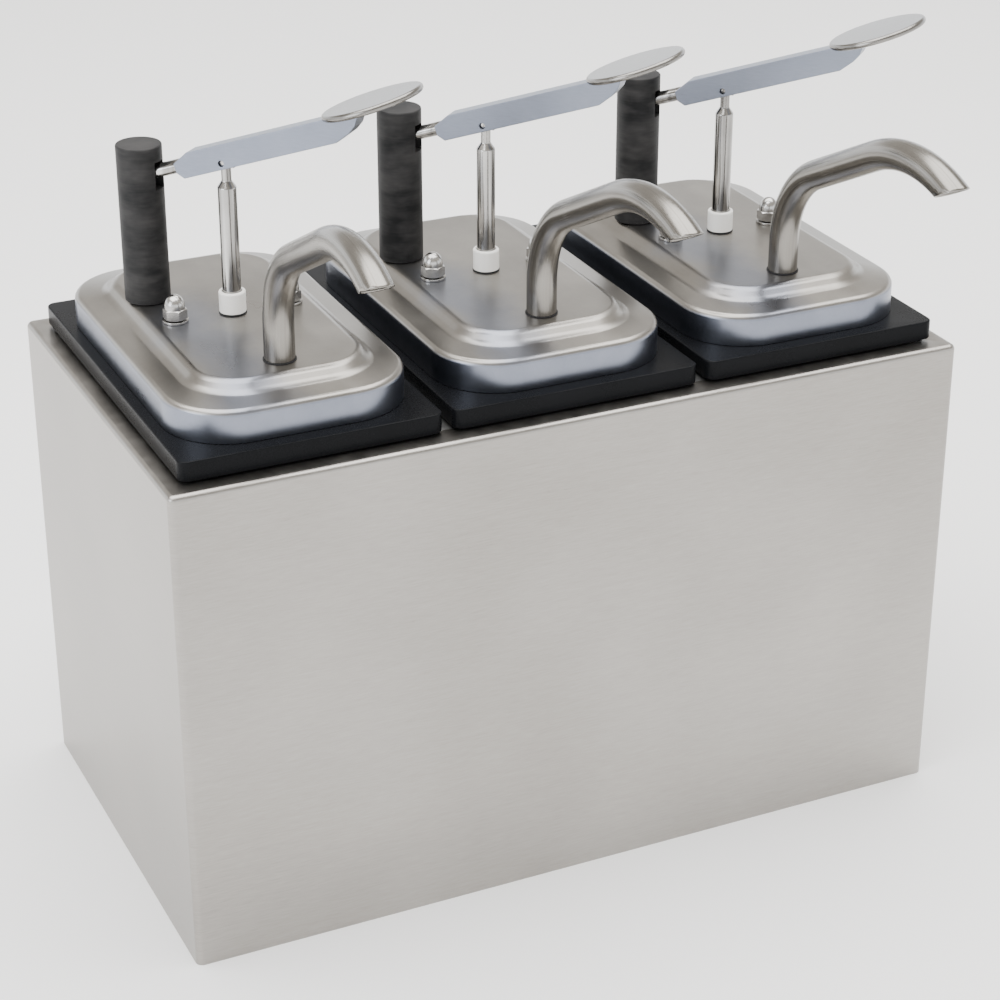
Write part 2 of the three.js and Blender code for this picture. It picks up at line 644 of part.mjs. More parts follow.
function piston() {
  const outside = CYLINDER_BORE / 2 - GAP;
  const hole = PISTON_SPIGOT / 2 + GAP;
  const groove = 1.5;
  const middle = (PISTON_TOP + PISTON_BOTTOM) / 2;
  return turned([
    [hole, PISTON_BOTTOM],
    [outside, PISTON_BOTTOM],
    [outside, middle - groove],
    [outside - groove, middle],
    [outside, middle + groove],
    [outside, PISTON_TOP],
    [hole, PISTON_TOP],
    [hole, PISTON_BOTTOM],
  ]);
}

class Helix extends THREE.Curve {
  constructor(diameter, bottom, top, turns) {
    super();
    Object.assign(this, { diameter, bottom, top, turns });
  }

  getPoint(t, target = new THREE.Vector3()) {
    const angle = 2 * Math.PI * this.turns * t;
    const height = THREE.MathUtils.lerp(this.bottom, this.top, t);
    return target.set((this.diameter / 2) * Math.cos(angle), (this.diameter / 2) * Math.sin(angle), height);
  }
}

function returnSpring() {
  const inset = SPRING_WIRE / 2 + GAP;
  const curve = new Helix(SPRING_DIAMETER, SPRING_SEAT + inset, PISTON_BOTTOM - inset, SPRING_TURNS);
  return sweep(SPRING_WIRE, curve, 8 * SPRING_TURNS, 4);
}

// The foot valve plugs the cylinder's end: a ball seat, a chamber for the ball, and a spring ledge.
const SEAT_Z = CYLINDER_BOTTOM + 6;
const BALL_REST = SEAT_Z + Math.sqrt((BALL_DIAMETER / 2) ** 2 - (INLET_DIAMETER / 2) ** 2) + GAP;
function footValve() {
  const inlet = INLET_DIAMETER / 2;
  const chamber = BALL_DIAMETER / 2 + 1;
  const outlet = BALL_DIAMETER / 2 - 1;
  const plug = CYLINDER_BORE / 2 - GAP;
  const roof = BALL_REST + BALL_DIAMETER / 2 + BALL_LIFT + 1;
  return turned([
    [inlet, FOOT_BOTTOM],
    [CYLINDER_DIAMETER / 2, FOOT_BOTTOM],
    [CYLINDER_DIAMETER / 2, CYLINDER_BOTTOM - GAP],
    [plug, CYLINDER_BOTTOM - GAP],
    [plug, SPRING_SEAT],
    [outlet, SPRING_SEAT],
    [outlet, roof],
    [chamber, roof],
    [chamber, SEAT_Z],
    [inlet, SEAT_Z],
    [inlet, FOOT_BOTTOM],
  ]);
}

function valveBall() {
  const geometry = new THREE.SphereGeometry(BALL_DIAMETER / 2, 10, 6);
  return solid(geometry.rotateX(Math.PI / 2).translate(0, 0, BALL_REST));
}

// ---- Spout -------------------------------------------------------------------------------------
// The spout's centre line, in the plane x = 0: up, forward over the casing's front, and down.
class SpoutLine extends THREE.Curve {
  constructor(start, tail) {
    super();
    this.start = start;
    this.slope = THREE.MathUtils.degToRad(SPOUT_SLOPE);
    this.fall = THREE.MathUtils.degToRad(SPOUT_FALL);
    this.lengths = [
      PANEL_TOP + SPOUT_RISE - start,
      SPOUT_FIRST_BEND * (Math.PI / 2 - this.slope),
      SPOUT_RUN,
      SPOUT_SECOND_BEND * (this.slope + this.fall),
      tail,
    ];
    this.total = this.lengths.reduce((sum, length) => sum + length);
  }

  getPoint(t, target = new THREE.Vector3()) {
    let left = t * this.total;
    let forward = 0;
    let height = this.start;
    const bends = [0, -1 / SPOUT_FIRST_BEND, 0, -1 / SPOUT_SECOND_BEND, 0];
    let heading = Math.PI / 2;
    for (const [i, length] of this.lengths.entries()) {
      const step = Math.min(left, length);
      const bend = bends[i];
      const next = heading + bend * step;
      if (bend === 0) {
        forward += step * Math.cos(heading);
        height += step * Math.sin(heading);
      } else {
        forward += (Math.sin(next) - Math.sin(heading)) / bend;
        height += (Math.cos(heading) - Math.cos(next)) / bend;
      }
      heading = next;
      left -= step;
    }
    return target.set(0, -forward, height);
  }
}

// The outlet is cut aslant, so the tube runs on past the cut and the rest is taken away.
function spout() {
  const start = HEAD_TOP - SPOUT_SOCKET_DEPTH + GAP;
  const slant = THREE.MathUtils.degToRad(90 - SPOUT_CUT - SPOUT_FALL); // between the cut and a square end
  const tail = (SPOUT_DIAMETER / 2) * Math.tan(slant) + 2;
  const outer = new SpoutLine(start, tail);
  const inner = new SpoutLine(start - 1, tail + 1);
  const outlet = outer.getPoint(1 - tail / outer.total);
  const beyond = SPOUT_DIAMETER + 2 * tail;
  const waste = new THREE.BoxGeometry(beyond, 2 * beyond, beyond).translate(0, 0, -beyond / 2);
  waste.rotateX(-THREE.MathUtils.degToRad(SPOUT_CUT)).translate(0, outlet.y, outlet.z);
  return cut(
    sweep(SPOUT_DIAMETER, outer, 20, 10),
    sweep(SPOUT_DIAMETER - 2 * SPOUT_WALL, inner, 20, 6),
    solid(waste),
  );
}

// ---- Assembly ----------------------------------------------------------------------------------
function unit(number) {
  const group = new THREE.Group();
  const add = (parent, name, body, material) => parent.add(mesh(`${name}_${number}`, body, material));
  add(group, "container", container(), BLACK_PLASTIC);
  add(group, "lid", lid(), BRUSHED_STEEL);
  add(group, "post", post(), POST_PLASTIC);
  add(group, "post_screw", postScrew(), SATIN_STEEL);
  add(group, "pivot_pin", pivotPin(), BRIGHT_STEEL);
  add(group, "push_rod", pushRod(), SATIN_STEEL);
  add(group, "guide_bush", guideBush(), WHITE_PLASTIC);
  add(group, "nut_left", domeNut(-NUT_X), BRIGHT_STEEL);
  add(group, "nut_right", domeNut(NUT_X), BRIGHT_STEEL);
  add(group, "pump_body", pumpBody(), WHITE_PLASTIC);
  add(group, "piston", piston(), WHITE_PLASTIC);
  add(group, "return_spring", returnSpring(), SPRING_STEEL);
  add(group, "foot_valve", footValve(), WHITE_PLASTIC);
  add(group, "valve_ball", valveBall(), BRIGHT_STEEL);

  const lever = new THREE.Group();
  lever.position.set(POST_X, POST_BACK, PIVOT_Z);
  lever.rotation.set(0, -SLOPE, LEVER_HEADING, "ZYX");
  add(lever, "lever", leverBar(), LEVER_STEEL);
  add(lever, "pivot_rod", pivotRod(), BRIGHT_STEEL);
  const pinLength = LEVER_WIDTH - 0.8;
  add(
    lever,
    "rod_pin",
    bar(ROD_PIN_DIAMETER, pinLength, Math.PI / 2, PIN_ALONG, 0, -ROD_PIN_DROP),
    BRIGHT_STEEL,
  );
  const pad = new THREE.Group();
  pad.position.set(LEVER_END + PAD_OVERHANG, 0, LEVER_HEIGHT / 2 + GAP);
  add(pad, "thumb_pad", thumbPad(), BRUSHED_STEEL);
  lever.add(pad);
  group.add(lever);

  const spoutMount = new THREE.Group();
  spoutMount.position.set(0, SPOUT_Y, 0);
  spoutMount.rotation.z = THREE.MathUtils.degToRad(SPOUT_TURNS[number - 1] ?? 0);
  add(spoutMount, "spout", spout(), SATIN_STEEL);
  group.add(spoutMount);
  return group;
}

const dispenser = new THREE.Group();
dispenser.add(mesh("casing_shell", casingShell(), BRUSHED_STEEL));
dispenser.add(mesh("base_pan", basePan(), SATIN_STEEL));
dispenser.add(mesh("support_frame", supportFrame(), SATIN_STEEL));
for (let number = 1; number <= UNITS; number += 1) {
  const pump = unit(number);
  pump.position.x = (number - (UNITS + 1) / 2) * PITCH;
  dispenser.add(pump);
}

export default dispenser;
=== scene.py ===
import math

import bmesh
import bpy
from mathutils import Matrix, Vector


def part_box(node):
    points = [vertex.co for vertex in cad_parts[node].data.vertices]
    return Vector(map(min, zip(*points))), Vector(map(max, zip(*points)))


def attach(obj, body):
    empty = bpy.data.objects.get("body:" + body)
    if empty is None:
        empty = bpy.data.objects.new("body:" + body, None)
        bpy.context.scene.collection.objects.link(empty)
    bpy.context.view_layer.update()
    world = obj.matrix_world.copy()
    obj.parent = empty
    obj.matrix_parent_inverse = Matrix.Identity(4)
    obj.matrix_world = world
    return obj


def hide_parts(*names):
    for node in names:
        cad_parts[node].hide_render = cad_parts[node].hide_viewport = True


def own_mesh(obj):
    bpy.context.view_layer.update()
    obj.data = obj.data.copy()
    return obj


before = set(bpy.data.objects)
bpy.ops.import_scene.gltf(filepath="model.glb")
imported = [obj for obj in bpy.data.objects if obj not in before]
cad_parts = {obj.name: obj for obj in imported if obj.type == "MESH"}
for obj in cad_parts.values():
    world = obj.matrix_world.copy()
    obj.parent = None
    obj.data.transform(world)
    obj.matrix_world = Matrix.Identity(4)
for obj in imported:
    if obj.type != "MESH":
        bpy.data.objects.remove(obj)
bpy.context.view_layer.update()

# ---- Casing --------------------------------------------------------------------------------------
# A box folded from brushed stainless sheet, open below, with its corners welded and ground and its
# top edge folded over into the rim that the containers hang from.
MM = 0.001  # pieces are drawn in millimetres, and scaled to metres when they are finished
STANDING = Matrix.Identity(4)


def extent(node):
    """A CAD piece's lowest and highest corners, in millimetres."""
    low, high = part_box(node)
    return low / MM, high / MM


class Value:
    """A shader socket that sums are written on. Each operator adds its Math node."""

    def __init__(self, nodes, socket):
        self.nodes = nodes
        self.socket = socket

    def __add__(self, other):
        return self.nodes.math("ADD", self, other)

    def __sub__(self, other):
        return self.nodes.math("SUBTRACT", self, other)

    def __rsub__(self, other):
        return self.nodes.math("SUBTRACT", other, self)

    def __mul__(self, other):
        return self.nodes.math("MULTIPLY", self, other)

    __radd__ = __add__
    __rmul__ = __mul__


class Nodes:
    """The nodes of a finish, or of the studio's background."""

    def __init__(self, tree):
        self.tree = tree

    def add(self, kind, settings, sockets, output=0):
        made = self.tree.nodes.new(kind)
        for key, value in settings.items():
            setattr(made, key, value)
        for key, value in sockets.items():
            self.feed(made.inputs[key], value)
        return Value(self, made.outputs[output])

    def feed(self, socket, value):
        if isinstance(value, Value):
            self.tree.links.new(value.socket, socket)
        else:
            socket.default_value = value

    def math(self, operation, first, second):
        return self.add("ShaderNodeMath", {"operation": operation}, {0: first, 1: second})

    def ramp(self, value, start, end):
        """Rises smoothly from 0 to 1 while the value goes from start to end."""
        span = {"Value": value, "From Min": start, "From Max": end, "To Min": 0.0, "To Max": 1.0}
        return self.add("ShaderNodeMapRange", {"interpolation_type": "SMOOTHSTEP"}, span)

    def blend(self, amount, first, second):
        """One colour socket faded into another, by an amount from 0 to 1."""
        return self.add("ShaderNodeMix", {"data_type": "RGBA"}, {0: amount, 6: first, 7: second}, 2)

    def shade(self, amount, dark, light):
        """A colour between two fixed ones, by an amount from 0 to 1."""
        return self.blend(amount, (*dark, 1.0), (*light, 1.0))


class Finish(Nodes):
    """A surface finish: one shader with its fixed values, and the patterns that vary it."""

    def __init__(self, name, **fixed):
        self.material = bpy.data.materials.new(name)
        self.material.use_nodes = True
        super().__init__(self.material.node_tree)
        self.shader = self.tree.nodes["Principled BSDF"]
        for socket, value in fixed.items():
            self.shader.inputs[socket.replace("_", " ")].default_value = value
        self.place = self.add("ShaderNodeTexCoord", {}, {}, "Object")

    def vary(self, **patterns):
        for socket, value in patterns.items():
            self.feed(self.shader.inputs[socket.replace("_", " ")], value)

    def grain(self, x, y, z, detail=2.0, place=None):
        """Noise from -0.5 to 0.5, with so many lumps per metre along each axis. Where one axis has
        few and the others many, it is drawn into lines."""
        sockets = {"Vector": place or self.place, "Scale": (x, y, z)}
        scaled = self.add("ShaderNodeMapping", {"vector_type": "POINT"}, sockets)
        noise = {"Vector": scaled, "Scale": 1.0, "Detail": detail, "Roughness": 0.6}
        return self.add("ShaderNodeTexNoise", {}, noise) - 0.5

    def relief(self, pattern, depth):
        """A pattern raised from the surface, depth metres from its lowest to its highest."""
        sockets = {"Height": pattern, "Distance": depth, "Strength": 1.0}
        return self.add("ShaderNodeBump", {}, sockets)


def brushed(name, dark, light, roughness, lines, depth=0.00002, spread=0.16):
    """Stainless steel with fine abrasive lines: lines gives how many cross a metre of each axis."""
    finish = Finish(name, Metallic=1.0)
    fine = finish.grain(*lines, detail=3.0)
    coarse = finish.grain(*[0.23 * number for number in lines], detail=1.0)
    cloud = finish.grain(5.0, 5.0, 5.0, detail=2.0)
    finish.vary(
        Base_Color=finish.shade(0.5 + 0.5 * fine + 0.2 * coarse + 0.9 * cloud, dark, light),
        Roughness=roughness + spread * fine + 0.3 * spread * coarse + 0.8 * spread * cloud,
        Normal=finish.relief(fine + 0.6 * coarse, depth),
    )
    return finish


def rim(bm, width, length, corner, z, x=0.0, steps=6):
    """A closed wire round a rectangle with rounded corners, level at z, as a list of edges."""
    before = set(bm.verts)
    place = Matrix.Translation((x, 0.0, z)) @ Matrix.Diagonal((width, length, 1.0, 1.0))
    bmesh.ops.create_grid(bm, x_segments=1, y_segments=1, size=0.5, matrix=place)
    corners = [v for v in bm.verts if v not in before]
    bmesh.ops.bevel(
        bm, geom=corners, offset=corner, segments=steps, profile=0.5, affect="VERTICES", material=-1
    )
    face = next(f for f in bm.faces if before.isdisjoint(f.verts))
    edges = list(face.edges)
    bmesh.ops.delete(bm, geom=[face], context="FACES_ONLY")
    return edges


def in_order(edges):
    """A rim's vertices, one after another."""
    return [
        set(edge.verts).intersection(following.verts).pop()
        for edge, following in zip(edges[-1:] + edges, edges)
    ]


def stretch(bm, rims):
    """Joins each rim to the next one, vertex to vertex, also where both lie level."""
    for first, second in zip(rims, rims[1:]):
        near, far = in_order(first), in_order(second)
        for i in range(len(near)):
            bm.faces.new((near[i - 1], near[i], far[i], far[i - 1]))


def soften(bm, edges, radius, steps=3):
    """Rounds edges over."""
    bmesh.ops.bevel(
        bm, geom=edges, offset=radius, segments=steps, profile=0.5, affect="EDGES", material=-1
    )


def piece(name, bm, finish, body, slot, *nodes, place=STANDING, wall=0.0, crease=32):
    """Finishes a mesh: its place, metres, normals, wall, material, and the body that carries it."""
    bmesh.ops.transform(bm, matrix=Matrix.Diagonal((MM, MM, MM, 1.0)) @ place, verts=bm.verts)
    bmesh.ops.remove_doubles(bm, verts=bm.verts, dist=1e-6)
    bmesh.ops.recalc_face_normals(bm, faces=bm.faces)
    mesh = bpy.data.meshes.new(name)
    bm.to_mesh(mesh)
    bm.free()
    mesh.shade_smooth()
    mesh.set_sharp_from_angle(angle=math.radians(crease))
    mesh.materials.append(finish.material)
    made = bpy.data.objects.new(name, mesh)
    bpy.context.scene.collection.objects.link(made)
    if wall:
        sheet = made.modifiers.new("sheet", "SOLIDIFY")
        sheet.thickness = wall * MM
        sheet.use_even_offset = True
    made.modifiers.new("flat faces", "WEIGHTED_NORMAL").keep_sharp = True
    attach(made, body)
    if nodes:
        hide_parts(*nodes)
    return made


casing_steel = brushed(
    "casing_steel", (0.235, 0.221, 0.204), (0.455, 0.435, 0.407), 0.33, (90.0, 90.0, 1100.0)
)
casing_low, casing_high = extent("casing_shell")
CASING_WIDTH, CASING_LENGTH, CASING_TOP = (casing_high - casing_low).xyz
CASING_CORNER, CASING_FOLD = 4.5, 3.5
CASING_WALL = 1.5
OPENING_WIDTH, OPENING_LENGTH, OPENING_CORNER = 490.0, 252.0, 3.0

bm = bmesh.new()
foot = rim(bm, CASING_WIDTH, CASING_LENGTH, CASING_CORNER, 0.0)
fold = rim(bm, CASING_WIDTH, CASING_LENGTH, CASING_CORNER, CASING_TOP)
opening = rim(bm, OPENING_WIDTH, OPENING_LENGTH, OPENING_CORNER, CASING_TOP)
stretch(bm, [foot, fold, opening])
soften(bm, fold, CASING_FOLD, 6)
piece("casing", bm, casing_steel, "casing", "casing_steel", "casing_shell", wall=CASING_WALL)

# ---- Base pan and support frame ------------------------------------------------------------------
# A shallow pan closes the casing from below, and a frame of folded angle and channel stiffens the
# rim between the containers. Both are the mill-finished sheet that nobody sees in use.
inner_steel = brushed(
    "inner_steel", (0.26, 0.26, 0.26), (0.42, 0.42, 0.42), 0.42, (700.0, 12.0, 700.0)
)


def refinish(finish, *nodes):
    """Gives CAD pieces a finish."""
    for node in nodes:
        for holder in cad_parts[node].material_slots:
            holder.material = finish.material


refinish(inner_steel, "base_pan", "support_frame")

# ---- Containers ----------------------------------------------------------------------------------
# A deep bin moulded in black plastic, with a thick flange that hangs on the casing's rim. A narrow
# seat under the flange leaves a dark line all round between plastic and steel.
UNITS = (1, 2, 3)
FLANGE_THICKNESS, FLANGE_CORNER = 12.0, 6.0
SEAT_INSET, SEAT_HEIGHT = 3.0, 1.7
BIN_SIDE_INSET, BIN_END_INSET = 8.5, 11.5  # from the flange's edge to the bin's outside
BIN_WALL, BIN_CORNER = 3.5, 36.0

black_plastic = Finish("black_plastic", Specular_IOR_Level=0.06)
speckle = black_plastic.grain(900.0, 900.0, 900.0, detail=2.0)
rubbed = black_plastic.grain(14.0, 14.0, 14.0, detail=4.0)
black_plastic.vary(
    Base_Color=black_plastic.shade(0.5 + rubbed, (0.003, 0.0032, 0.0037), (0.008, 0.0085, 0.0098)),
    Roughness=0.29 + 0.25 * rubbed + 0.10 * speckle,
    Normal=black_plastic.relief(speckle, 0.00005),
)


def middle(node):
    """The middle of a CAD piece's box, in millimetres."""
    low, high = extent(node)
    return (low + high) / 2


for unit in UNITS:
    low, high = extent(f"container_{unit}")
    width, length = high.x - low.x, high.y - low.y
    x, top, base = (low.x + high.x) / 2, high.z, low.z
    out_width, out_length = width - 2 * BIN_SIDE_INSET, length - 2 * BIN_END_INSET
    outside = (out_width, out_length, BIN_CORNER)
    inside = (out_width - 2 * BIN_WALL, out_length - 2 * BIN_WALL, BIN_CORNER - BIN_WALL)
    flange = (width, length, FLANGE_CORNER)
    seat = (width - 2 * SEAT_INSET, length - 2 * SEAT_INSET, FLANGE_CORNER)
    under = top - FLANGE_THICKNESS
    bm = bmesh.new()
    rims = [
        rim(bm, *outline, z, x, steps=8)
        for outline, z in (
            (inside, base + BIN_WALL), (inside, top), (flange, top), (flange, under), (seat, under),
            (seat, under - SEAT_HEIGHT), (outside, under - SEAT_HEIGHT), (outside, base),
        )
    ]
    stretch(bm, rims)
    inner_floor, mouth, upper, lower, *_, outer_floor = rims
    bmesh.ops.edgeloop_fill(bm, edges=inner_floor)
    bmesh.ops.edgeloop_fill(bm, edges=outer_floor)
    soften(bm, inner_floor, 9.0, 5)
    soften(bm, outer_floor, 12.0, 5)
    soften(bm, mouth, 0.8, 2)
    soften(bm, upper, 0.9, 3)
    soften(bm, lower, 0.6, 2)
    piece(
        f"container_{unit}_bin", bm, black_plastic, f"container_{unit}", "black_plastic",
        f"container_{unit}",
    )

# ---- Lids ----------------------------------------------------------------------------------------
# Each lid is deep-drawn from one sheet: a skirt, a rounded edge, a border that rises a little, and
# a soft step up to the panel that the pump is bolted to. It is satin steel, with a painted
# blue-grey reflection over its skirt and over the left part of its top.
LID_WALL = 1.2
SKIRT_CORNER, STEP_CORNER, PANEL_CORNER = 42.0, 33.5, 27.5
STEP_INSET, PANEL_INSET = 17.0, 23.0  # from the skirt
PANEL_RISE, BORDER_RISE = 9.0, 2.5  # above the border's outer edge
PITCH = MM * (middle("container_2") - middle("container_1")).x
SKIRT_TOP = MM * (extent("lid_1")[1].z - PANEL_RISE - 1.5)

lid_steel = Finish("lid_steel", Metallic=1.0)
satin = lid_steel.grain(420.0, 260.0, 420.0, detail=1.0)
drawn = lid_steel.grain(60.0, 14.0, 60.0, detail=1.0)
smear = lid_steel.grain(16.0, 16.0, 16.0, detail=3.0)
sideways, lengthways, level = (
    lid_steel.add("ShaderNodeSeparateXYZ", {}, {"Vector": lid_steel.place}, axis) for axis in "XYZ"
)
# Painted reflection: a blue-grey patch in the base colour over the left part of each lid, fading
# out towards the back.
across = lid_steel.math("FLOORED_MODULO", sideways + PITCH / 2, PITCH) + 0.05 * smear
painted_reflection_patch = lid_steel.ramp(across, 0.026, 0.048) * (1 - lid_steel.ramp(across, 0.056, 0.090))
painted_reflection_patch = painted_reflection_patch * (1 - lid_steel.ramp(lengthways + 0.1 * smear, 0.0, 0.06))
# Painted reflection: the skirt, below SKIRT_TOP, takes the darker blue-grey colour in place of the
# satin one.
painted_skirt_reflection = 1 - lid_steel.ramp(level, SKIRT_TOP - 0.0015, SKIRT_TOP + 0.0005)
worked = lid_steel.shade(
    0.5 + 0.15 * satin + 0.4 * drawn + 0.9 * smear, (0.22, 0.207, 0.189), (0.40, 0.38, 0.35)
)
# The darker blue-grey colour of the painted reflection.
painted_reflection_blue = lid_steel.shade(
    0.5 + 0.15 * satin + 0.4 * drawn + 0.9 * smear, (0.15, 0.163, 0.20), (0.27, 0.29, 0.345)
)
lid_steel.vary(
    Base_Color=lid_steel.blend(lid_steel.math("MAXIMUM", painted_skirt_reflection, 0.8 * painted_reflection_patch), worked, painted_reflection_blue),
    Roughness=0.30 + 0.06 * drawn + 0.12 * smear,
    Normal=lid_steel.relief(drawn, 0.00003),
)
for unit in UNITS:
    low, high = extent(f"lid_{unit}")
    width, length, x = high.x - low.x, high.y - low.y, (low.x + high.x) / 2
    border = high.z - PANEL_RISE
    bm = bmesh.new()
    rims = [
        rim(bm, width - 2 * inset, length - 2 * inset, corner, z, x, steps=12)
        for inset, corner, z in (
            (0.0, SKIRT_CORNER, low.z), (0.0, SKIRT_CORNER, border),
            (STEP_INSET, STEP_CORNER, border + BORDER_RISE), (PANEL_INSET, PANEL_CORNER, high.z),
        )
    ]
    stretch(bm, rims)
    edge, step, panel = rims[1:]
    bmesh.ops.edgeloop_fill(bm, edges=panel)
    soften(bm, edge, 3.5, 5)
    soften(bm, step, 3.0, 4)
    soften(bm, panel, 3.0, 5)
    piece(
        f"lid_{unit}_pressing", bm, lid_steel, f"pump_{unit}", "lid_steel", f"lid_{unit}",
        wall=LID_WALL,
    )

# ---- Posts ---------------------------------------------------------------------------------------
# A post turned from black plastic rod stands at the back left of each panel, screwed up from below.
# The saw-cut slot in its side takes the lever's rod, and a cross pin holds the rod's end.
LEVER_HEADING = math.radians(-47.76)
LEVER_SLOPE = math.radians(19.0)
POST_RADIUS = 14.0
SLOT_LENGTH, SLOT_WIDTH, SLOT_HEIGHT = 24.0, 9.4, 17.2
SLOT_OUT, SLOT_UP = 4.0, 1.7  # from the pivot to the slot's middle
PIN_HOLE_RADIUS = 2.3
SCREW_BORE_RADIUS, SCREW_BORE_DEPTH = 4.3, 36.0

post_plastic = Finish("post_plastic", Specular_IOR_Level=0.2)
bands = post_plastic.grain(26.0, 26.0, 85.0, detail=3.0)
turning = post_plastic.grain(30.0, 30.0, 2600.0, detail=1.0)
scuffs = post_plastic.grain(55.0, 55.0, 55.0, detail=4.0)
post_plastic.vary(
    Base_Color=post_plastic.shade(
        0.30 + 2.0 * bands + 0.2 * turning + 0.7 * scuffs,
        (0.0035, 0.0037, 0.0042), (0.046, 0.044, 0.043),
    ),
    Roughness=0.55 + 0.3 * bands,
    Normal=post_plastic.relief(turning, 0.00008),
)


def turned(outline, rounds=(), closed=False, steps=48):
    """A solid turned about the z axis from (radius, height) corners. Each round is a corner's
    number, its radius and its steps."""
    bm = bmesh.new()
    corners = [bm.verts.new((radius, 0.0, height)) for radius, height in outline]
    pairs = list(zip(corners, corners[1:]))
    if closed:
        pairs.append((corners[-1], corners[0]))
    for pair in pairs:
        bm.edges.new(pair)
    for number, radius, count in rounds:
        bmesh.ops.bevel(
            bm, geom=[corners[number]], offset=radius, segments=count, profile=0.5,
            affect="VERTICES", material=-1,
        )
    bmesh.ops.spin(
        bm, geom=bm.verts[:] + bm.edges[:], cent=(0.0, 0.0, 0.0), axis=(0.0, 0.0, 1.0),
        dvec=(0.0, 0.0, 0.0), angle=2 * math.pi, steps=steps, use_merge=True,
    )
    bmesh.ops.remove_doubles(bm, verts=bm.verts, dist=1e-4)
    return bm


def slab(x, y, z, place=STANDING):
    """A rectangular solid, as a tool to cut with."""
    bm = bmesh.new()
    bmesh.ops.create_cube(bm, size=1.0, matrix=place @ Matrix.Diagonal((x, y, z, 1.0)))
    return bm


def dowel(radius, length, place=STANDING, steps=32):
    """A plain round rod along z with its middle at the origin."""
    bm = bmesh.new()
    bmesh.ops.create_cone(
        bm, cap_ends=True, segments=steps, radius1=radius, radius2=radius, depth=length,
        matrix=place,
    )
    return bm


def combine(bm, operation, *tools):
    """The first solid with each tool cut away from it, or joined to it."""
    blanks = []
    for solid in (bm, *tools):
        bmesh.ops.recalc_face_normals(solid, faces=solid.faces)
        mesh = bpy.data.meshes.new("blank")
        solid.to_mesh(mesh)
        solid.free()
        blanks.append(bpy.data.objects.new("blank", mesh))
        bpy.context.scene.collection.objects.link(blanks[-1])
    for tool in blanks[1:]:
        change = blanks[0].modifiers.new("change", "BOOLEAN")
        change.operation = operation
        change.object = tool
    shaped = blanks[0].evaluated_get(bpy.context.evaluated_depsgraph_get())
    result = bmesh.new()
    result.from_mesh(shaped.to_mesh())
    shaped.to_mesh_clear()
    for blank in blanks:
        bpy.data.meshes.remove(blank.data)
    return result


def turn(axis, angle):
    return Matrix.Rotation(angle, 4, axis)


def pivot(unit):
    """Where the lever's pivot crosses the post's middle line."""
    return Vector((*middle(f"post_{unit}").xy, middle(f"pivot_pin_{unit}").z))


for unit in UNITS:
    low, high = extent(f"post_{unit}")
    stand = Matrix.Translation((*pivot(unit).xy, 0.0))
    at_pivot = Matrix.Translation((0.0, 0.0, pivot(unit).z)) @ turn("Z", LEVER_HEADING)
    blank = turned(
        [(0, low.z), (POST_RADIUS, low.z), (POST_RADIUS, high.z), (0, high.z)],
        [(1, 0.4, 1), (2, 1.0, 3)],
        steps=64,
    )
    slot_place = at_pivot @ Matrix.Translation((SLOT_OUT, 0.0, SLOT_UP))
    slot = slab(SLOT_LENGTH, SLOT_WIDTH, SLOT_HEIGHT, slot_place)
    from_behind = at_pivot @ Matrix.Translation((0.0, 9.5, 0.0)) @ turn("X", math.pi / 2)
    hole = dowel(PIN_HOLE_RADIUS, 40.0, from_behind)
    bore = dowel(SCREW_BORE_RADIUS, 2 * SCREW_BORE_DEPTH, Matrix.Translation((0.0, 0.0, low.z)))
    post = combine(blank, "DIFFERENCE", slot, hole, bore)
    piece(
        f"post_{unit}_turned", post, post_plastic, f"pump_{unit}", "post_plastic", f"post_{unit}",
        place=stand,
    )

# ---- Pivot pins, lever rods and rod pins ---------------------------------------------------------
# Each lever has a ground rod pressed into its end, which is pinned in the post from behind. A
# second short pin, through the lever, pushes the plunger's rod down.
LEVER_ROD_RADIUS = 4.2
PIVOT_PIN_RADIUS, ROD_PIN_RADIUS = 2.0, 1.7

rod_steel = Finish("rod_steel", Metallic=1.0)
ground = rod_steel.grain(190.0, 190.0, 4.0, detail=1.0)
handled = rod_steel.grain(30.0, 30.0, 30.0, detail=3.0)
rod_steel.vary(
    Base_Color=rod_steel.shade(
        0.45 + 1.8 * ground + 0.5 * handled, (0.10, 0.095, 0.09), (0.66, 0.65, 0.63)
    ),
    Roughness=0.17 + 0.08 * ground + 0.08 * handled,
    Normal=rod_steel.relief(ground, 0.00001),
)


def rounded_rod(radius, start, end, round_by):
    """A rod along x, with its ends rounded over."""
    outline = [(0, start), (radius, start), (radius, end), (0, end)]
    bm = turned(outline, [(1, round_by, 3), (2, round_by, 3)], steps=32)
    bmesh.ops.transform(bm, matrix=turn("Y", math.pi / 2), verts=bm.verts)
    return bm


def lever_place(unit):
    """Where the lever lies at rest: the pivot at the origin, x along the bar and z up its side."""
    heading = turn("Z", LEVER_HEADING) @ turn("Y", -LEVER_SLOPE)
    return Matrix.Translation(pivot(unit)) @ heading


for unit in UNITS:
    across = turn("Z", LEVER_HEADING + math.pi / 2)
    piece(
        f"pivot_pin_{unit}_ground", rounded_rod(PIVOT_PIN_RADIUS, -10.0, 13.0, 0.4), rod_steel,
        f"pump_{unit}", "rod_steel", f"pivot_pin_{unit}",
        place=Matrix.Translation(pivot(unit)) @ across,
    )
    piece(
        f"rod_pin_{unit}_ground", rounded_rod(ROD_PIN_RADIUS, -4.6, 4.6, 0.3), rod_steel,
        f"lever_{unit}", "rod_steel", f"rod_pin_{unit}",
        place=Matrix.Translation(middle(f"rod_pin_{unit}")) @ across,
    )
    rod = combine(
        rounded_rod(LEVER_ROD_RADIUS, -6.0, 43.0, 0.5), "DIFFERENCE",
        dowel(PIN_HOLE_RADIUS, 12.0, turn("X", math.pi / 2)),
    )
    piece(
        f"pivot_rod_{unit}_ground", rod, rod_steel, f"lever_{unit}", "rod_steel",
        f"pivot_rod_{unit}", place=lever_place(unit),
    )

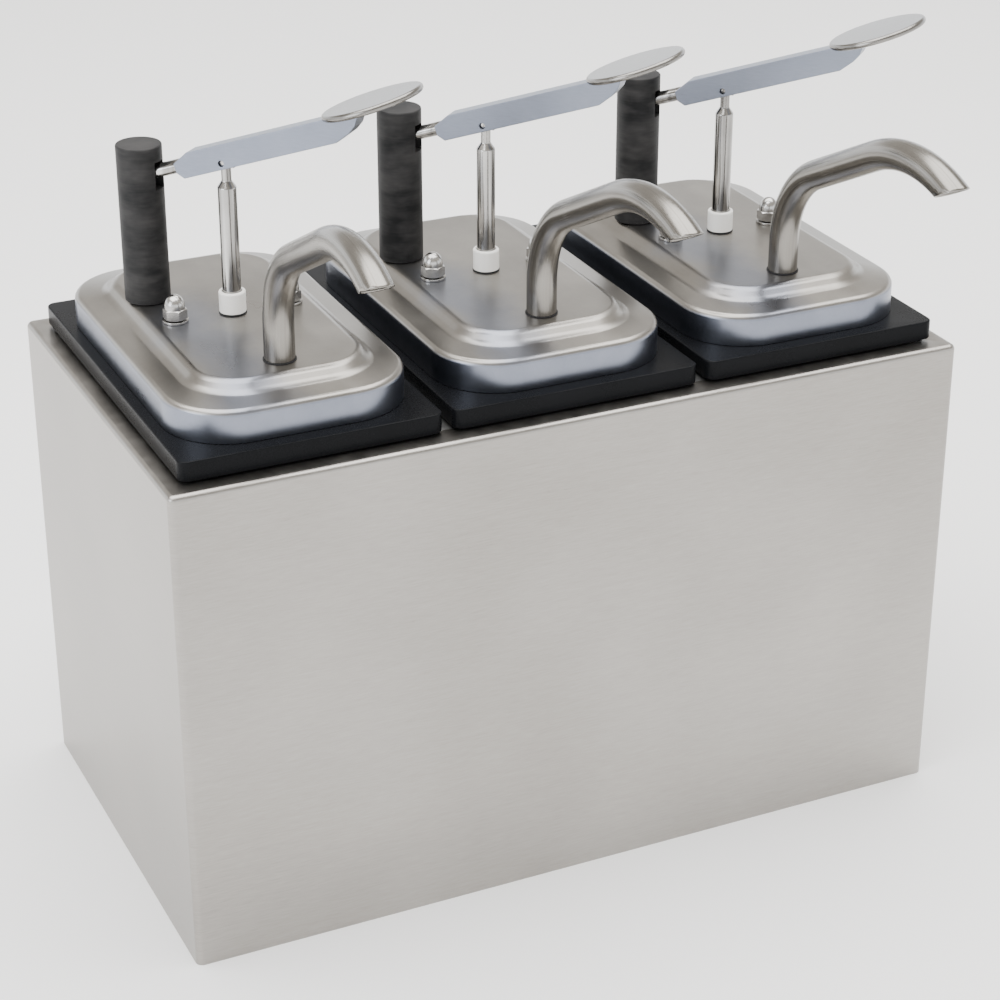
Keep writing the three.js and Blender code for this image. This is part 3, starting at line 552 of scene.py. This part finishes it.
# ---- Levers --------------------------------------------------------------------------------------
# A solid bar of flat steel, its near end chamfered above and below, and its far end cut back under
# the thumb pad that is welded on it. A slot from below takes the eye of the plunger's rod.
lever_steel = Finish("lever_steel", Metallic=1.0)
linished = lever_steel.grain(160.0, 160.0, 1500.0, detail=3.0)
hazy = lever_steel.grain(24.0, 24.0, 24.0, detail=3.0)
lever_steel.vary(
    Base_Color=lever_steel.shade(
        0.5 + 0.5 * linished + 0.7 * hazy, (0.16, 0.178, 0.22), (0.27, 0.293, 0.35)
    ),
    Roughness=0.32 + 0.14 * linished + 0.1 * hazy,
    Normal=lever_steel.relief(linished, 0.00002),
)
LEVER_PROFILE = (
    (29.0, -3.2), (33.0, -7.5), (140.0, -7.5), (150.0, -3.8), (155.0, -0.6), (158.0, 3.4),
    (159.0, 7.5), (40.0, 7.5), (29.0, 2.7),
)
LEVER_HALF_WIDTH = 6.0
EYE_SLOT_LENGTH, EYE_SLOT_WIDTH, EYE_SLOT_HEIGHT = 15.4, 6.8, 17.0
LEVER_SOCKET_RADIUS, LEVER_SOCKET_DEPTH = 4.5, 14.3
ROD_PIN_HOLE_RADIUS = 2.0

for unit in UNITS:
    pin = lever_place(unit).inverted() @ middle(f"rod_pin_{unit}")
    bm = bmesh.new()
    side = bm.faces.new([bm.verts.new((x, -LEVER_HALF_WIDTH, z)) for x, z in LEVER_PROFILE])
    swept = bmesh.ops.extrude_face_region(bm, geom=[side])["geom"]
    moved = [item for item in swept if isinstance(item, bmesh.types.BMVert)]
    bmesh.ops.translate(bm, vec=(0.0, 2 * LEVER_HALF_WIDTH, 0.0), verts=moved)
    soften(bm, bm.edges[:], 0.5, 2)
    near_end, underside = LEVER_PROFILE[0][0], LEVER_PROFILE[1][1]
    under_pin = Matrix.Translation((pin.x, 0.0, underside))
    slot = slab(EYE_SLOT_LENGTH, EYE_SLOT_WIDTH, EYE_SLOT_HEIGHT, under_pin)
    hole = dowel(ROD_PIN_HOLE_RADIUS, 20.0, Matrix.Translation(pin) @ turn("X", math.pi / 2))
    lengthwise = Matrix.Translation((near_end, 0.0, 0.0)) @ turn("Y", math.pi / 2)
    socket = dowel(LEVER_SOCKET_RADIUS, 2 * LEVER_SOCKET_DEPTH, lengthwise)
    bar = combine(bm, "DIFFERENCE", slot, hole, socket)
    piece(
        f"lever_{unit}_bar", bar, lever_steel, f"lever_{unit}", "lever_steel", f"lever_{unit}",
        place=lever_place(unit),
    )

# ---- Thumb pads ----------------------------------------------------------------------------------
# A round disc of steel plate with its edge rounded over, welded flat on the end of the lever and
# brushed.
pad_steel = brushed(
    "pad_steel", (0.13, 0.124, 0.115), (0.32, 0.309, 0.292), 0.24, (300.0, 300.0, 300.0),
    spread=0.10,
)
PAD_RADIUS, PAD_THICKNESS, PAD_EDGE_ROUND = 30.5, 4.0, 1.9
PAD_ALONG, PAD_UNDERSIDE = 167.8, 7.8

for unit in UNITS:
    disc = turned(
        [(0, 0), (PAD_RADIUS, 0), (PAD_RADIUS, PAD_THICKNESS), (0, PAD_THICKNESS)],
        [(1, PAD_EDGE_ROUND, 4), (2, PAD_EDGE_ROUND, 4)],
        steps=96,
    )
    on_lever = lever_place(unit) @ Matrix.Translation((PAD_ALONG, 0.0, PAD_UNDERSIDE))
    piece(
        f"thumb_pad_{unit}_disc", disc, pad_steel, f"lever_{unit}", "pad_steel",
        f"thumb_pad_{unit}", place=on_lever,
    )

# ---- Push rods -----------------------------------------------------------------------------------
# A polished round rod with its top turned down to a neck and flattened into an eye, which hangs on
# the lever's pin. Its lower end carries the piston.
STEM_RADIUS, NECK_RADIUS, PISTON_STUD_RADIUS = 5.75, 3.0, 4.0
EYE_LENGTH, EYE_THICKNESS, EYE_HEIGHT = 9.8, 4.0, 7.4
EYE_HOLE_HEIGHT, EYE_HOLE_PLAY = 4.3, 4.1
PIN_SWING = 2.25  # how far the lever's pin moves out along the eye's hole

for unit in UNITS:
    x = middle(f"container_{unit}").x
    pin = middle(f"rod_pin_{unit}")
    piston_low, piston_high = extent(f"piston_{unit}")
    end, collar, cone = piston_low.z + 2.0, piston_high.z + 0.3, pin.z - 16.0
    stem = turned(
        [
            (0, end), (PISTON_STUD_RADIUS, end), (PISTON_STUD_RADIUS, collar),
            (STEM_RADIUS, collar), (STEM_RADIUS, cone), (NECK_RADIUS, cone + 4),
            (NECK_RADIUS, pin.z - 2), (0, pin.z - 2),
        ],
        [(4, 0.5, 2), (5, 0.5, 2)],
    )
    outward = Matrix.Translation((PIN_SWING / 2, 0.0, pin.z))
    blank = slab(
        EYE_LENGTH, EYE_THICKNESS, EYE_HEIGHT, outward @ Matrix.Translation((0.0, 0.0, 0.5))
    )
    hole = slab(PIN_SWING + EYE_HOLE_PLAY, 2 * EYE_THICKNESS, EYE_HOLE_HEIGHT, outward)
    eye = combine(blank, "DIFFERENCE", hole)
    bmesh.ops.transform(eye, matrix=turn("Z", LEVER_HEADING), verts=eye.verts)
    piece(
        f"push_rod_{unit}_turned", combine(stem, "UNION", eye), rod_steel, f"plunger_{unit}",
        "rod_steel", f"push_rod_{unit}", place=Matrix.Translation((x, 0.0, 0.0)),
    )

# ---- Guide bushes --------------------------------------------------------------------------------
# A white plastic bush with a thick collar stands on the panel and guides the push rod. A thin black
# ring under the collar seals it to the lid.
BUSH_BORE_RADIUS, BUSH_NECK_RADIUS, BUSH_COLLAR_RADIUS = 6.05, 7.3, 8.25

white_plastic = Finish(
    "white_plastic", Specular_IOR_Level=0.5, Subsurface_Weight=0.15,
    Subsurface_Radius=(0.004, 0.0035, 0.003),
)
pores = white_plastic.grain(700.0, 700.0, 700.0, detail=2.0)
stained = white_plastic.grain(40.0, 40.0, 40.0, detail=3.0)
white_plastic.vary(
    Base_Color=white_plastic.shade(0.6 + 0.8 * stained, (0.72, 0.70, 0.64), (0.90, 0.89, 0.86)),
    Roughness=0.38 + 0.12 * pores,
    Normal=white_plastic.relief(pores, 0.00003),
)
black_rubber = Finish("black_rubber", Specular_IOR_Level=0.3)
dull = black_rubber.grain(300.0, 300.0, 300.0, detail=3.0)
black_rubber.vary(
    Base_Color=black_rubber.shade(0.5 + dull, (0.010, 0.010, 0.011), (0.022, 0.022, 0.024)),
    Roughness=0.62 + 0.2 * dull,
    Normal=black_rubber.relief(dull, 0.00003),
)


def ring(bore, outside, low, high, round_by):
    """A flat ring round the z axis, with its two outer corners rounded over."""
    outline = [(bore, low), (outside, low), (outside, high), (bore, high)]
    return turned(outline, [(1, round_by, 2), (2, round_by, 2)], closed=True)


for unit in UNITS:
    low, high = extent(f"guide_bush_{unit}")
    lid_top = extent(f"lid_{unit}")[1].z
    on_rod = Matrix.Translation((middle(f"guide_bush_{unit}").x, 0.0, 0.0))
    shoulder = lid_top + 0.9
    bush = turned(
        [
            (BUSH_BORE_RADIUS, low.z), (BUSH_NECK_RADIUS, low.z), (BUSH_NECK_RADIUS, shoulder),
            (BUSH_COLLAR_RADIUS, shoulder), (BUSH_COLLAR_RADIUS, high.z),
            (BUSH_BORE_RADIUS, high.z),
        ],
        [(3, 0.3, 2), (4, 1.4, 4), (5, 0.6, 2)],
        closed=True,
    )
    piece(
        f"guide_bush_{unit}_turned", bush, white_plastic, f"pump_{unit}", "white_plastic",
        f"guide_bush_{unit}", place=on_rod,
    )
    piece(
        f"bush_seal_{unit}", ring(7.4, 8.5, lid_top + 0.05, lid_top + 0.7, 0.2), black_rubber,
        f"pump_{unit}", "black_plastic", place=on_rod,
    )

# ---- Dome nuts and washers -----------------------------------------------------------------------
# The lid is bolted to the pump with two polished dome nuts, one each side of the rod, each on a
# plain washer. A nut is a chamfered hexagon below a rounded blind cap.
fastener_steel = Finish("fastener_steel", Metallic=1.0)
buffed = fastener_steel.grain(260.0, 260.0, 260.0, detail=3.0)
fastener_steel.vary(
    Base_Color=fastener_steel.shade(0.5 + buffed, (0.32, 0.312, 0.30), (0.54, 0.53, 0.51)),
    Roughness=0.23 + 0.10 * buffed,
    Normal=fastener_steel.relief(buffed, 0.00001),
)
NUT_ACROSS_FLATS = 13.0
HEX_HEIGHT = 6.4
CAP_RADIUS = 6.2
CAP_STRETCH = 1.15  # the cap is taller than a half ball
CAP_FOOT = 3.0  # how far up the hexagon the cap starts, inside it
NUT_SEAT = 2.2  # from the panel to the hexagon, over the washer
WASHER_BORE, WASHER_RADIUS, WASHER_THICKNESS = 4.3, 8.0, 1.6

for unit in UNITS:
    for side in ("left", "right"):
        node = f"nut_{side}_{unit}"
        high = extent(node)[1]
        lid_top = extent(f"lid_{unit}")[1].z
        seat = lid_top + NUT_SEAT
        corner = NUT_ACROSS_FLATS / 2 / math.cos(math.pi / 6)
        hexagon = dowel(corner, HEX_HEIGHT, Matrix.Translation((0, 0, seat + HEX_HEIGHT / 2)), 6)
        hex_top = seat + HEX_HEIGHT
        chamfer = turned(
            [
                (0, seat), (6.4, seat), (7.6, seat + 0.7), (7.6, hex_top - 0.8), (6.3, hex_top),
                (0, hex_top),
            ],
        )
        nut = combine(hexagon, "INTERSECT", chamfer)
        tall = (high.z - seat - CAP_FOOT) / CAP_STRETCH
        cap = turned(
            [(0, 0), (CAP_RADIUS, 0), (CAP_RADIUS, tall), (0, tall)], [(2, CAP_RADIUS - 0.05, 10)]
        )
        on_hexagon = Matrix.Translation((0.0, 0.0, seat + CAP_FOOT))
        drawn_out = Matrix.Diagonal((1.0, 1.0, CAP_STRETCH, 1.0))
        bmesh.ops.transform(cap, matrix=on_hexagon @ drawn_out, verts=cap.verts)
        above = Matrix.Translation((*middle(node).xy, 0.0))
        piece(
            f"dome_nut_{side}_{unit}", combine(nut, "UNION", cap), fastener_steel, f"pump_{unit}",
            "fastener_steel", node, place=above, crease=25,
        )
        washer_low = lid_top + 0.1
        washer = ring(WASHER_BORE, WASHER_RADIUS, washer_low, washer_low + WASHER_THICKNESS, 0.3)
        piece(
            f"washer_{side}_{unit}", washer, fastener_steel, f"pump_{unit}", "fastener_steel",
            place=above,
        )

# ---- Pump bodies ---------------------------------------------------------------------------------
# Under the lid hangs one white moulding: a head plate, the cylinder, and the riser that feeds the
# spout, joined low down by the arm with the port. The foot valve plugs the cylinder's lower end.
HEAD_THICKNESS = 10.0
HEAD_WIDTH, HEAD_LENGTH, HEAD_CORNER = 94.0, 46.0, 8.0
TONGUE_WIDTH, TONGUE_LENGTH, TONGUE_MIDDLE = 31.0, 94.0, -47.5  # of the plate, out to the spout
HEAD_GAP = 1.5  # from the panel's top to the head plate: the sheet and a little air
SPOUT_BACK = -80.0  # from the container's middle line to the spout's
CYLINDER_RADIUS, CYLINDER_BORE_RADIUS = 20.0, 17.0
RISER_RADIUS, RISER_BORE_RADIUS = 13.5, 7.0
ROD_BORE_RADIUS, BUSH_SEAT_RADIUS, SPOUT_SOCKET_RADIUS = 6.05, 7.6, 9.55
VALVE_FLANGE_RADIUS, VALVE_PLUG_RADIUS = 20.0, 16.7
VALVE_INLET_RADIUS, BALL_CAGE_RADIUS, VALVE_OUTLET_RADIUS = 5.0, 8.0, 6.0


def plate(width, length, corner, low, high, y):
    """A flat plate with rounded corners, and edges rounded over above and below."""
    bm = bmesh.new()
    rims = [rim(bm, width, length, corner, z) for z in (low, high)]
    stretch(bm, rims)
    for loop in rims:
        bmesh.ops.edgeloop_fill(bm, edges=loop)
    for loop in rims:
        soften(bm, loop, 1.2, 3)
    bmesh.ops.translate(bm, vec=(0.0, y, 0.0), verts=bm.verts)
    return bm


def column(radius, low, high, y, round_by):
    """A round upright with its lower edge rounded over."""
    bm = turned([(0, low), (radius, low), (radius, high), (0, high)], [(1, round_by, 3)])
    bmesh.ops.translate(bm, vec=(0.0, y, 0.0), verts=bm.verts)
    return bm


for unit in UNITS:
    x = middle(f"container_{unit}").x
    foot_low, foot_high = extent(f"foot_valve_{unit}")
    lid_top = extent(f"lid_{unit}")[1].z
    spout_y = middle(f"container_{unit}").y + SPOUT_BACK
    head_top = lid_top - HEAD_GAP
    head_low = head_top - HEAD_THICKNESS
    cylinder_low = foot_low.z + 8.3
    port = foot_high.z + 18.0
    arm = slab(22.0, 76.0, 20.0, Matrix.Translation((0.0, -40.0, port)))
    soften(arm, arm.edges[:], 3.0, 4)
    body = combine(
        plate(HEAD_WIDTH, HEAD_LENGTH, HEAD_CORNER, head_low, head_top, 0.0), "UNION",
        plate(TONGUE_WIDTH, TONGUE_LENGTH, HEAD_CORNER, head_low, head_top, TONGUE_MIDDLE),
        column(CYLINDER_RADIUS, cylinder_low, head_top - 1, 0.0, 1.0),
        column(RISER_RADIUS, port - 11.0, head_top - 1, spout_y, 4.0),
        arm,
    )
    riser_low = port - 6
    riser_middle = Matrix.Translation((0, spout_y, (head_top + riser_low) / 2))
    body = combine(
        body, "DIFFERENCE",
        dowel(CYLINDER_BORE_RADIUS, 200.0, Matrix.Translation((0, 0, head_top - 18.5 - 100.0))),
        dowel(ROD_BORE_RADIUS, 60.0, Matrix.Translation((0, 0, head_top - 20.0))),
        dowel(BUSH_SEAT_RADIUS, 20.0, Matrix.Translation((0, 0, head_top - 4.0))),
        dowel(SPOUT_SOCKET_RADIUS, 40.0, Matrix.Translation((0, spout_y, head_top))),
        dowel(RISER_BORE_RADIUS, head_top - riser_low, riser_middle),
    )
    piece(
        f"pump_body_{unit}_moulding", body, white_plastic, f"pump_{unit}", "white_plastic",
        f"pump_body_{unit}", place=Matrix.Translation((x, 0.0, 0.0)),
    )
    flange_top, ball_seat, cage_top = foot_low.z + 8, foot_low.z + 14.3, foot_high.z - 16.5
    valve = turned(
        [
            (VALVE_INLET_RADIUS, foot_low.z), (VALVE_FLANGE_RADIUS, foot_low.z),
            (VALVE_FLANGE_RADIUS, flange_top), (VALVE_PLUG_RADIUS, flange_top),
            (VALVE_PLUG_RADIUS, foot_high.z), (VALVE_OUTLET_RADIUS, foot_high.z),
            (VALVE_OUTLET_RADIUS, cage_top), (BALL_CAGE_RADIUS, cage_top),
            (BALL_CAGE_RADIUS, ball_seat), (VALVE_INLET_RADIUS, ball_seat),
        ],
        [(1, 1.0, 3), (2, 0.6, 2)],
        closed=True,
    )
    piece(
        f"foot_valve_{unit}_turned", valve, white_plastic, f"pump_{unit}", "white_plastic",
        f"foot_valve_{unit}", place=Matrix.Translation((x, 0.0, 0.0)),
    )
    refinish(fastener_steel, f"valve_ball_{unit}", f"post_screw_{unit}")
    refinish(white_plastic, f"piston_{unit}")

# ---- Return springs ------------------------------------------------------------------------------
# Each cylinder holds a coil of hard-drawn spring wire, between the foot valve's ledge and the
# piston. It closes up as the lever is pressed.
spring_steel = brushed(
    "spring_steel", (0.22, 0.22, 0.225), (0.38, 0.38, 0.385), 0.32, (500.0, 500.0, 900.0)
)
WIRE_RADIUS = 1.1
COIL_TURNS = 6
TURN_STEPS = 24

for unit in UNITS:
    low, high = extent(f"return_spring_{unit}")
    seat = extent(f"foot_valve_{unit}")[1].z
    piston_low = extent(f"piston_{unit}")[0].z
    x = middle(f"container_{unit}").x
    coil_radius = (high.x - low.x) / 2 - WIRE_RADIUS
    rise = high.z - low.z - 2 * WIRE_RADIUS
    bm = bmesh.new()
    start = Matrix.Translation((coil_radius, 0.0, low.z + WIRE_RADIUS)) @ turn("X", math.pi / 2)
    section = bmesh.ops.create_circle(
        bm, cap_ends=False, segments=12, radius=WIRE_RADIUS, matrix=start
    )["verts"]
    near_end = list({edge for v in section for edge in v.link_edges})
    wound = bmesh.ops.spin(
        bm, geom=near_end, cent=(0.0, 0.0, 0.0), axis=(0.0, 0.0, 1.0),
        dvec=(0.0, 0.0, rise / (COIL_TURNS * TURN_STEPS)), angle=2 * math.pi * COIL_TURNS,
        steps=COIL_TURNS * TURN_STEPS, use_merge=False,
    )["geom_last"]
    far_end = [item for item in wound if isinstance(item, bmesh.types.BMEdge)]
    for end in (near_end, far_end):
        bmesh.ops.edgeloop_fill(bm, edges=end)
    coil = piece(
        f"return_spring_{unit}_coil", bm, spring_steel, f"pump_{unit}", "spring_steel",
        f"return_spring_{unit}", place=Matrix.Translation((x, 0.0, 0.0)),
    )
    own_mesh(coil)

# ---- Spouts --------------------------------------------------------------------------------------
# A stainless tube bent twice, up from its socket and forward over the casing's front, then cut
# aslant at the outlet. It is brushed along its length, and turns in a thin black seal on the panel.
SPOUT_RADIUS, SPOUT_WALL = 9.25, 1.5
SPOUT_RISE, SPOUT_RUN = 19.5, 68.5
FIRST_BEND, SECOND_BEND = 60.0, 96.0
SPOUT_SLOPE, SPOUT_FALL = math.radians(26.2), math.radians(22.5)
MOUTH_SLANT = math.radians(28.5)  # of the cut, from level
SPOUT_TURNS = {1: math.radians(-3.0), 2: 0.0, 3: 0.0}
RING_SPACING = 8.0

spout_steel = Finish("spout_steel", Metallic=1.0)
around = spout_steel.add("ShaderNodeAttribute", {"attribute_name": "around"}, {}, "Vector")
streaks = spout_steel.grain(5.0, 5.0, 5.0, detail=4.0, place=around)
strokes = spout_steel.grain(22.0, 22.0, 22.0, detail=2.0, place=around)
blotches = spout_steel.grain(28.0, 28.0, 28.0, detail=3.0)
spout_steel.vary(
    Base_Color=spout_steel.shade(
        0.5 + 0.8 * streaks + 0.5 * strokes + 0.5 * blotches,
        (0.125, 0.116, 0.104), (0.36, 0.344, 0.316),
    ),
    Roughness=0.24 + 0.14 * strokes + 0.12 * streaks + 0.12 * blotches,
    Normal=spout_steel.relief(strokes, 0.00003),
)


def tube(start, panel_top, tail, steps=40):
    """The bent tube's outer skin, from its foot at z = start, and the middle of its far end. Each
    vertex keeps where it lies round the tube, so that the brushing can follow the bends."""
    bm = bmesh.new()
    layer = bm.verts.layers.float_vector.new("around")
    foot = bmesh.ops.create_circle(
        bm, cap_ends=False, segments=steps, radius=SPOUT_RADIUS,
        matrix=Matrix.Translation((0, 0, start)),
    )["verts"]
    for v in foot:
        v[layer] = Vector((v.co.x, v.co.y, 0.0)).normalized()
    loop = list({e for v in foot for e in v.link_edges})
    heading, point = math.pi / 2, Vector((0.0, 0.0, start))
    for straight, bend, to in (
        (panel_top + SPOUT_RISE - start, FIRST_BEND, SPOUT_SLOPE),
        (SPOUT_RUN, SECOND_BEND, -SPOUT_FALL),
        (tail, 0.0, 0.0),
    ):
        way = Vector((0.0, -math.cos(heading), math.sin(heading))) * straight
        count = max(2, round(straight / RING_SPACING))
        for _ in range(count):
            grown = bmesh.ops.extrude_edge_only(bm, edges=loop)["geom"]
            fresh = [item for item in grown if isinstance(item, bmesh.types.BMVert)]
            bmesh.ops.translate(bm, vec=way / count, verts=fresh)
            held = set(fresh)
            loop = [
                item for item in grown
                if isinstance(item, bmesh.types.BMEdge) and held.issuperset(item.verts)
            ]
        point = point + way
        if bend:
            centre = point - bend * Vector((0.0, math.sin(heading), math.cos(heading)))
            spun = bmesh.ops.spin(
                bm, geom=loop, cent=centre, axis=(1.0, 0.0, 0.0), dvec=(0.0, 0.0, 0.0),
                angle=heading - to, steps=16, use_merge=False,
            )["geom_last"]
            loop = [item for item in spun if isinstance(item, bmesh.types.BMEdge)]
            swung = turn("X", heading - to)
            point, heading = Matrix.Translation(centre) @ swung @ (point - centre), to
    return bm, point


for unit in UNITS:
    start = extent(f"spout_{unit}")[0].z
    lid_top = extent(f"lid_{unit}")[1].z
    spout_y = middle(f"container_{unit}").y + SPOUT_BACK
    foot = Matrix.Translation((middle(f"container_{unit}").x, spout_y, 0.0))
    tail = SPOUT_RADIUS / math.tan(MOUTH_SLANT + SPOUT_FALL) + 2.0
    bm, end = tube(start, lid_top, tail)
    outlet = end - tail * Vector((0.0, -math.cos(SPOUT_FALL), -math.sin(SPOUT_FALL)))
    beyond = [v for v in bm.verts if v.co.y < outlet.y + 22.0]
    within = set(beyond)
    edges = [e for e in bm.edges if within.issuperset(e.verts)]
    faces = [f for f in bm.faces if within.issuperset(f.verts)]
    bmesh.ops.bisect_plane(
        bm, geom=beyond + edges + faces, plane_co=outlet,
        plane_no=(0.0, -math.sin(MOUTH_SLANT), -math.cos(MOUTH_SLANT)), clear_outer=True,
    )
    piece(
        f"spout_{unit}_tube", bm, spout_steel, f"spout_{unit}", "spout_steel", f"spout_{unit}",
        place=foot @ turn("Z", SPOUT_TURNS[unit]), wall=SPOUT_WALL,
    )
    piece(
        f"spout_seal_{unit}", ring(9.4, 10.0, lid_top + 0.05, lid_top + 0.6, 0.2), black_rubber,
        f"pump_{unit}", "black_plastic", place=foot,
    )

# ---- Studio --------------------------------------------------------------------------------------
# The dispenser stands on a plain pale floor under a large soft lamp, between pale walls that are
# brightest low down. It is seen from its front left and from above.
FLOOR_HALF_WIDTH = 9.0  # in metres, as is all of the studio
AIM = Vector((0.0097, 0.0, 0.1956))
CAMERA_DISTANCE = 1.688
CAMERA_DIRECTION = Vector((-0.3808, -0.8129, 0.4407))

floor_paint = Finish("floor_paint", Specular_IOR_Level=0.2, Roughness=0.7)
mottle = floor_paint.grain(2.0, 2.0, 2.0, detail=2.0)
floor_paint.vary(Base_Color=floor_paint.shade(0.5 + mottle, (0.91, 0.91, 0.91), (0.94, 0.94, 0.94)))
bm = bmesh.new()
bmesh.ops.create_grid(bm, x_segments=1, y_segments=1, size=FLOOR_HALF_WIDTH)
mesh = bpy.data.meshes.new("floor")
bm.to_mesh(mesh)
bm.free()
mesh.materials.append(floor_paint.material)
floor = bpy.data.objects.new("floor", mesh)
bpy.context.scene.collection.objects.link(floor)

world = bpy.data.worlds.new("studio")
world.use_nodes = True
walls = Nodes(world.node_tree)
direction = walls.add("ShaderNodeTexCoord", {}, {}, "Generated")
height = walls.add("ShaderNodeSeparateXYZ", {}, {"Vector": direction}, "Z")
up = walls.ramp(height, 0.17, 0.36)
background = world.node_tree.nodes["Background"]
walls.feed(background.inputs["Color"], walls.shade(up, (0.93, 0.96, 1.0), (1.0, 0.95, 0.88)))
walls.feed(background.inputs["Strength"], 2.6 - 1.75 * up)
bpy.context.scene.world = world


def lamp(name, place, width, height, watts, colour=(1.0, 1.0, 1.0)):
    """A rectangular soft box that points at the dispenser."""
    light = bpy.data.lights.new(name, "AREA")
    light.shape = "RECTANGLE"
    light.size, light.size_y = width, height
    light.energy = watts
    light.color = colour
    made = bpy.data.objects.new(name, light)
    made.location = place
    made.rotation_euler = (Vector(place) - AIM).to_track_quat("Z", "Y").to_euler()
    made.visible_camera = False
    bpy.context.scene.collection.objects.link(made)


lamp("overhead", (0.0, 0.1, 3.3), 5.0, 3.6, 330.0)
lamp("left", (-2.6, -0.7, 1.2), 1.6, 1.6, 36.0, (0.90, 0.94, 1.0))

lens = bpy.data.cameras.new("view")
lens.lens = 91.9
lens.sensor_width = 36.0
camera = bpy.data.objects.new("view", lens)
camera.location = AIM + CAMERA_DISTANCE * CAMERA_DIRECTION
camera.rotation_euler = (camera.location - AIM).to_track_quat("Z", "Y").to_euler()
bpy.context.scene.collection.objects.link(camera)
bpy.context.scene.camera = camera
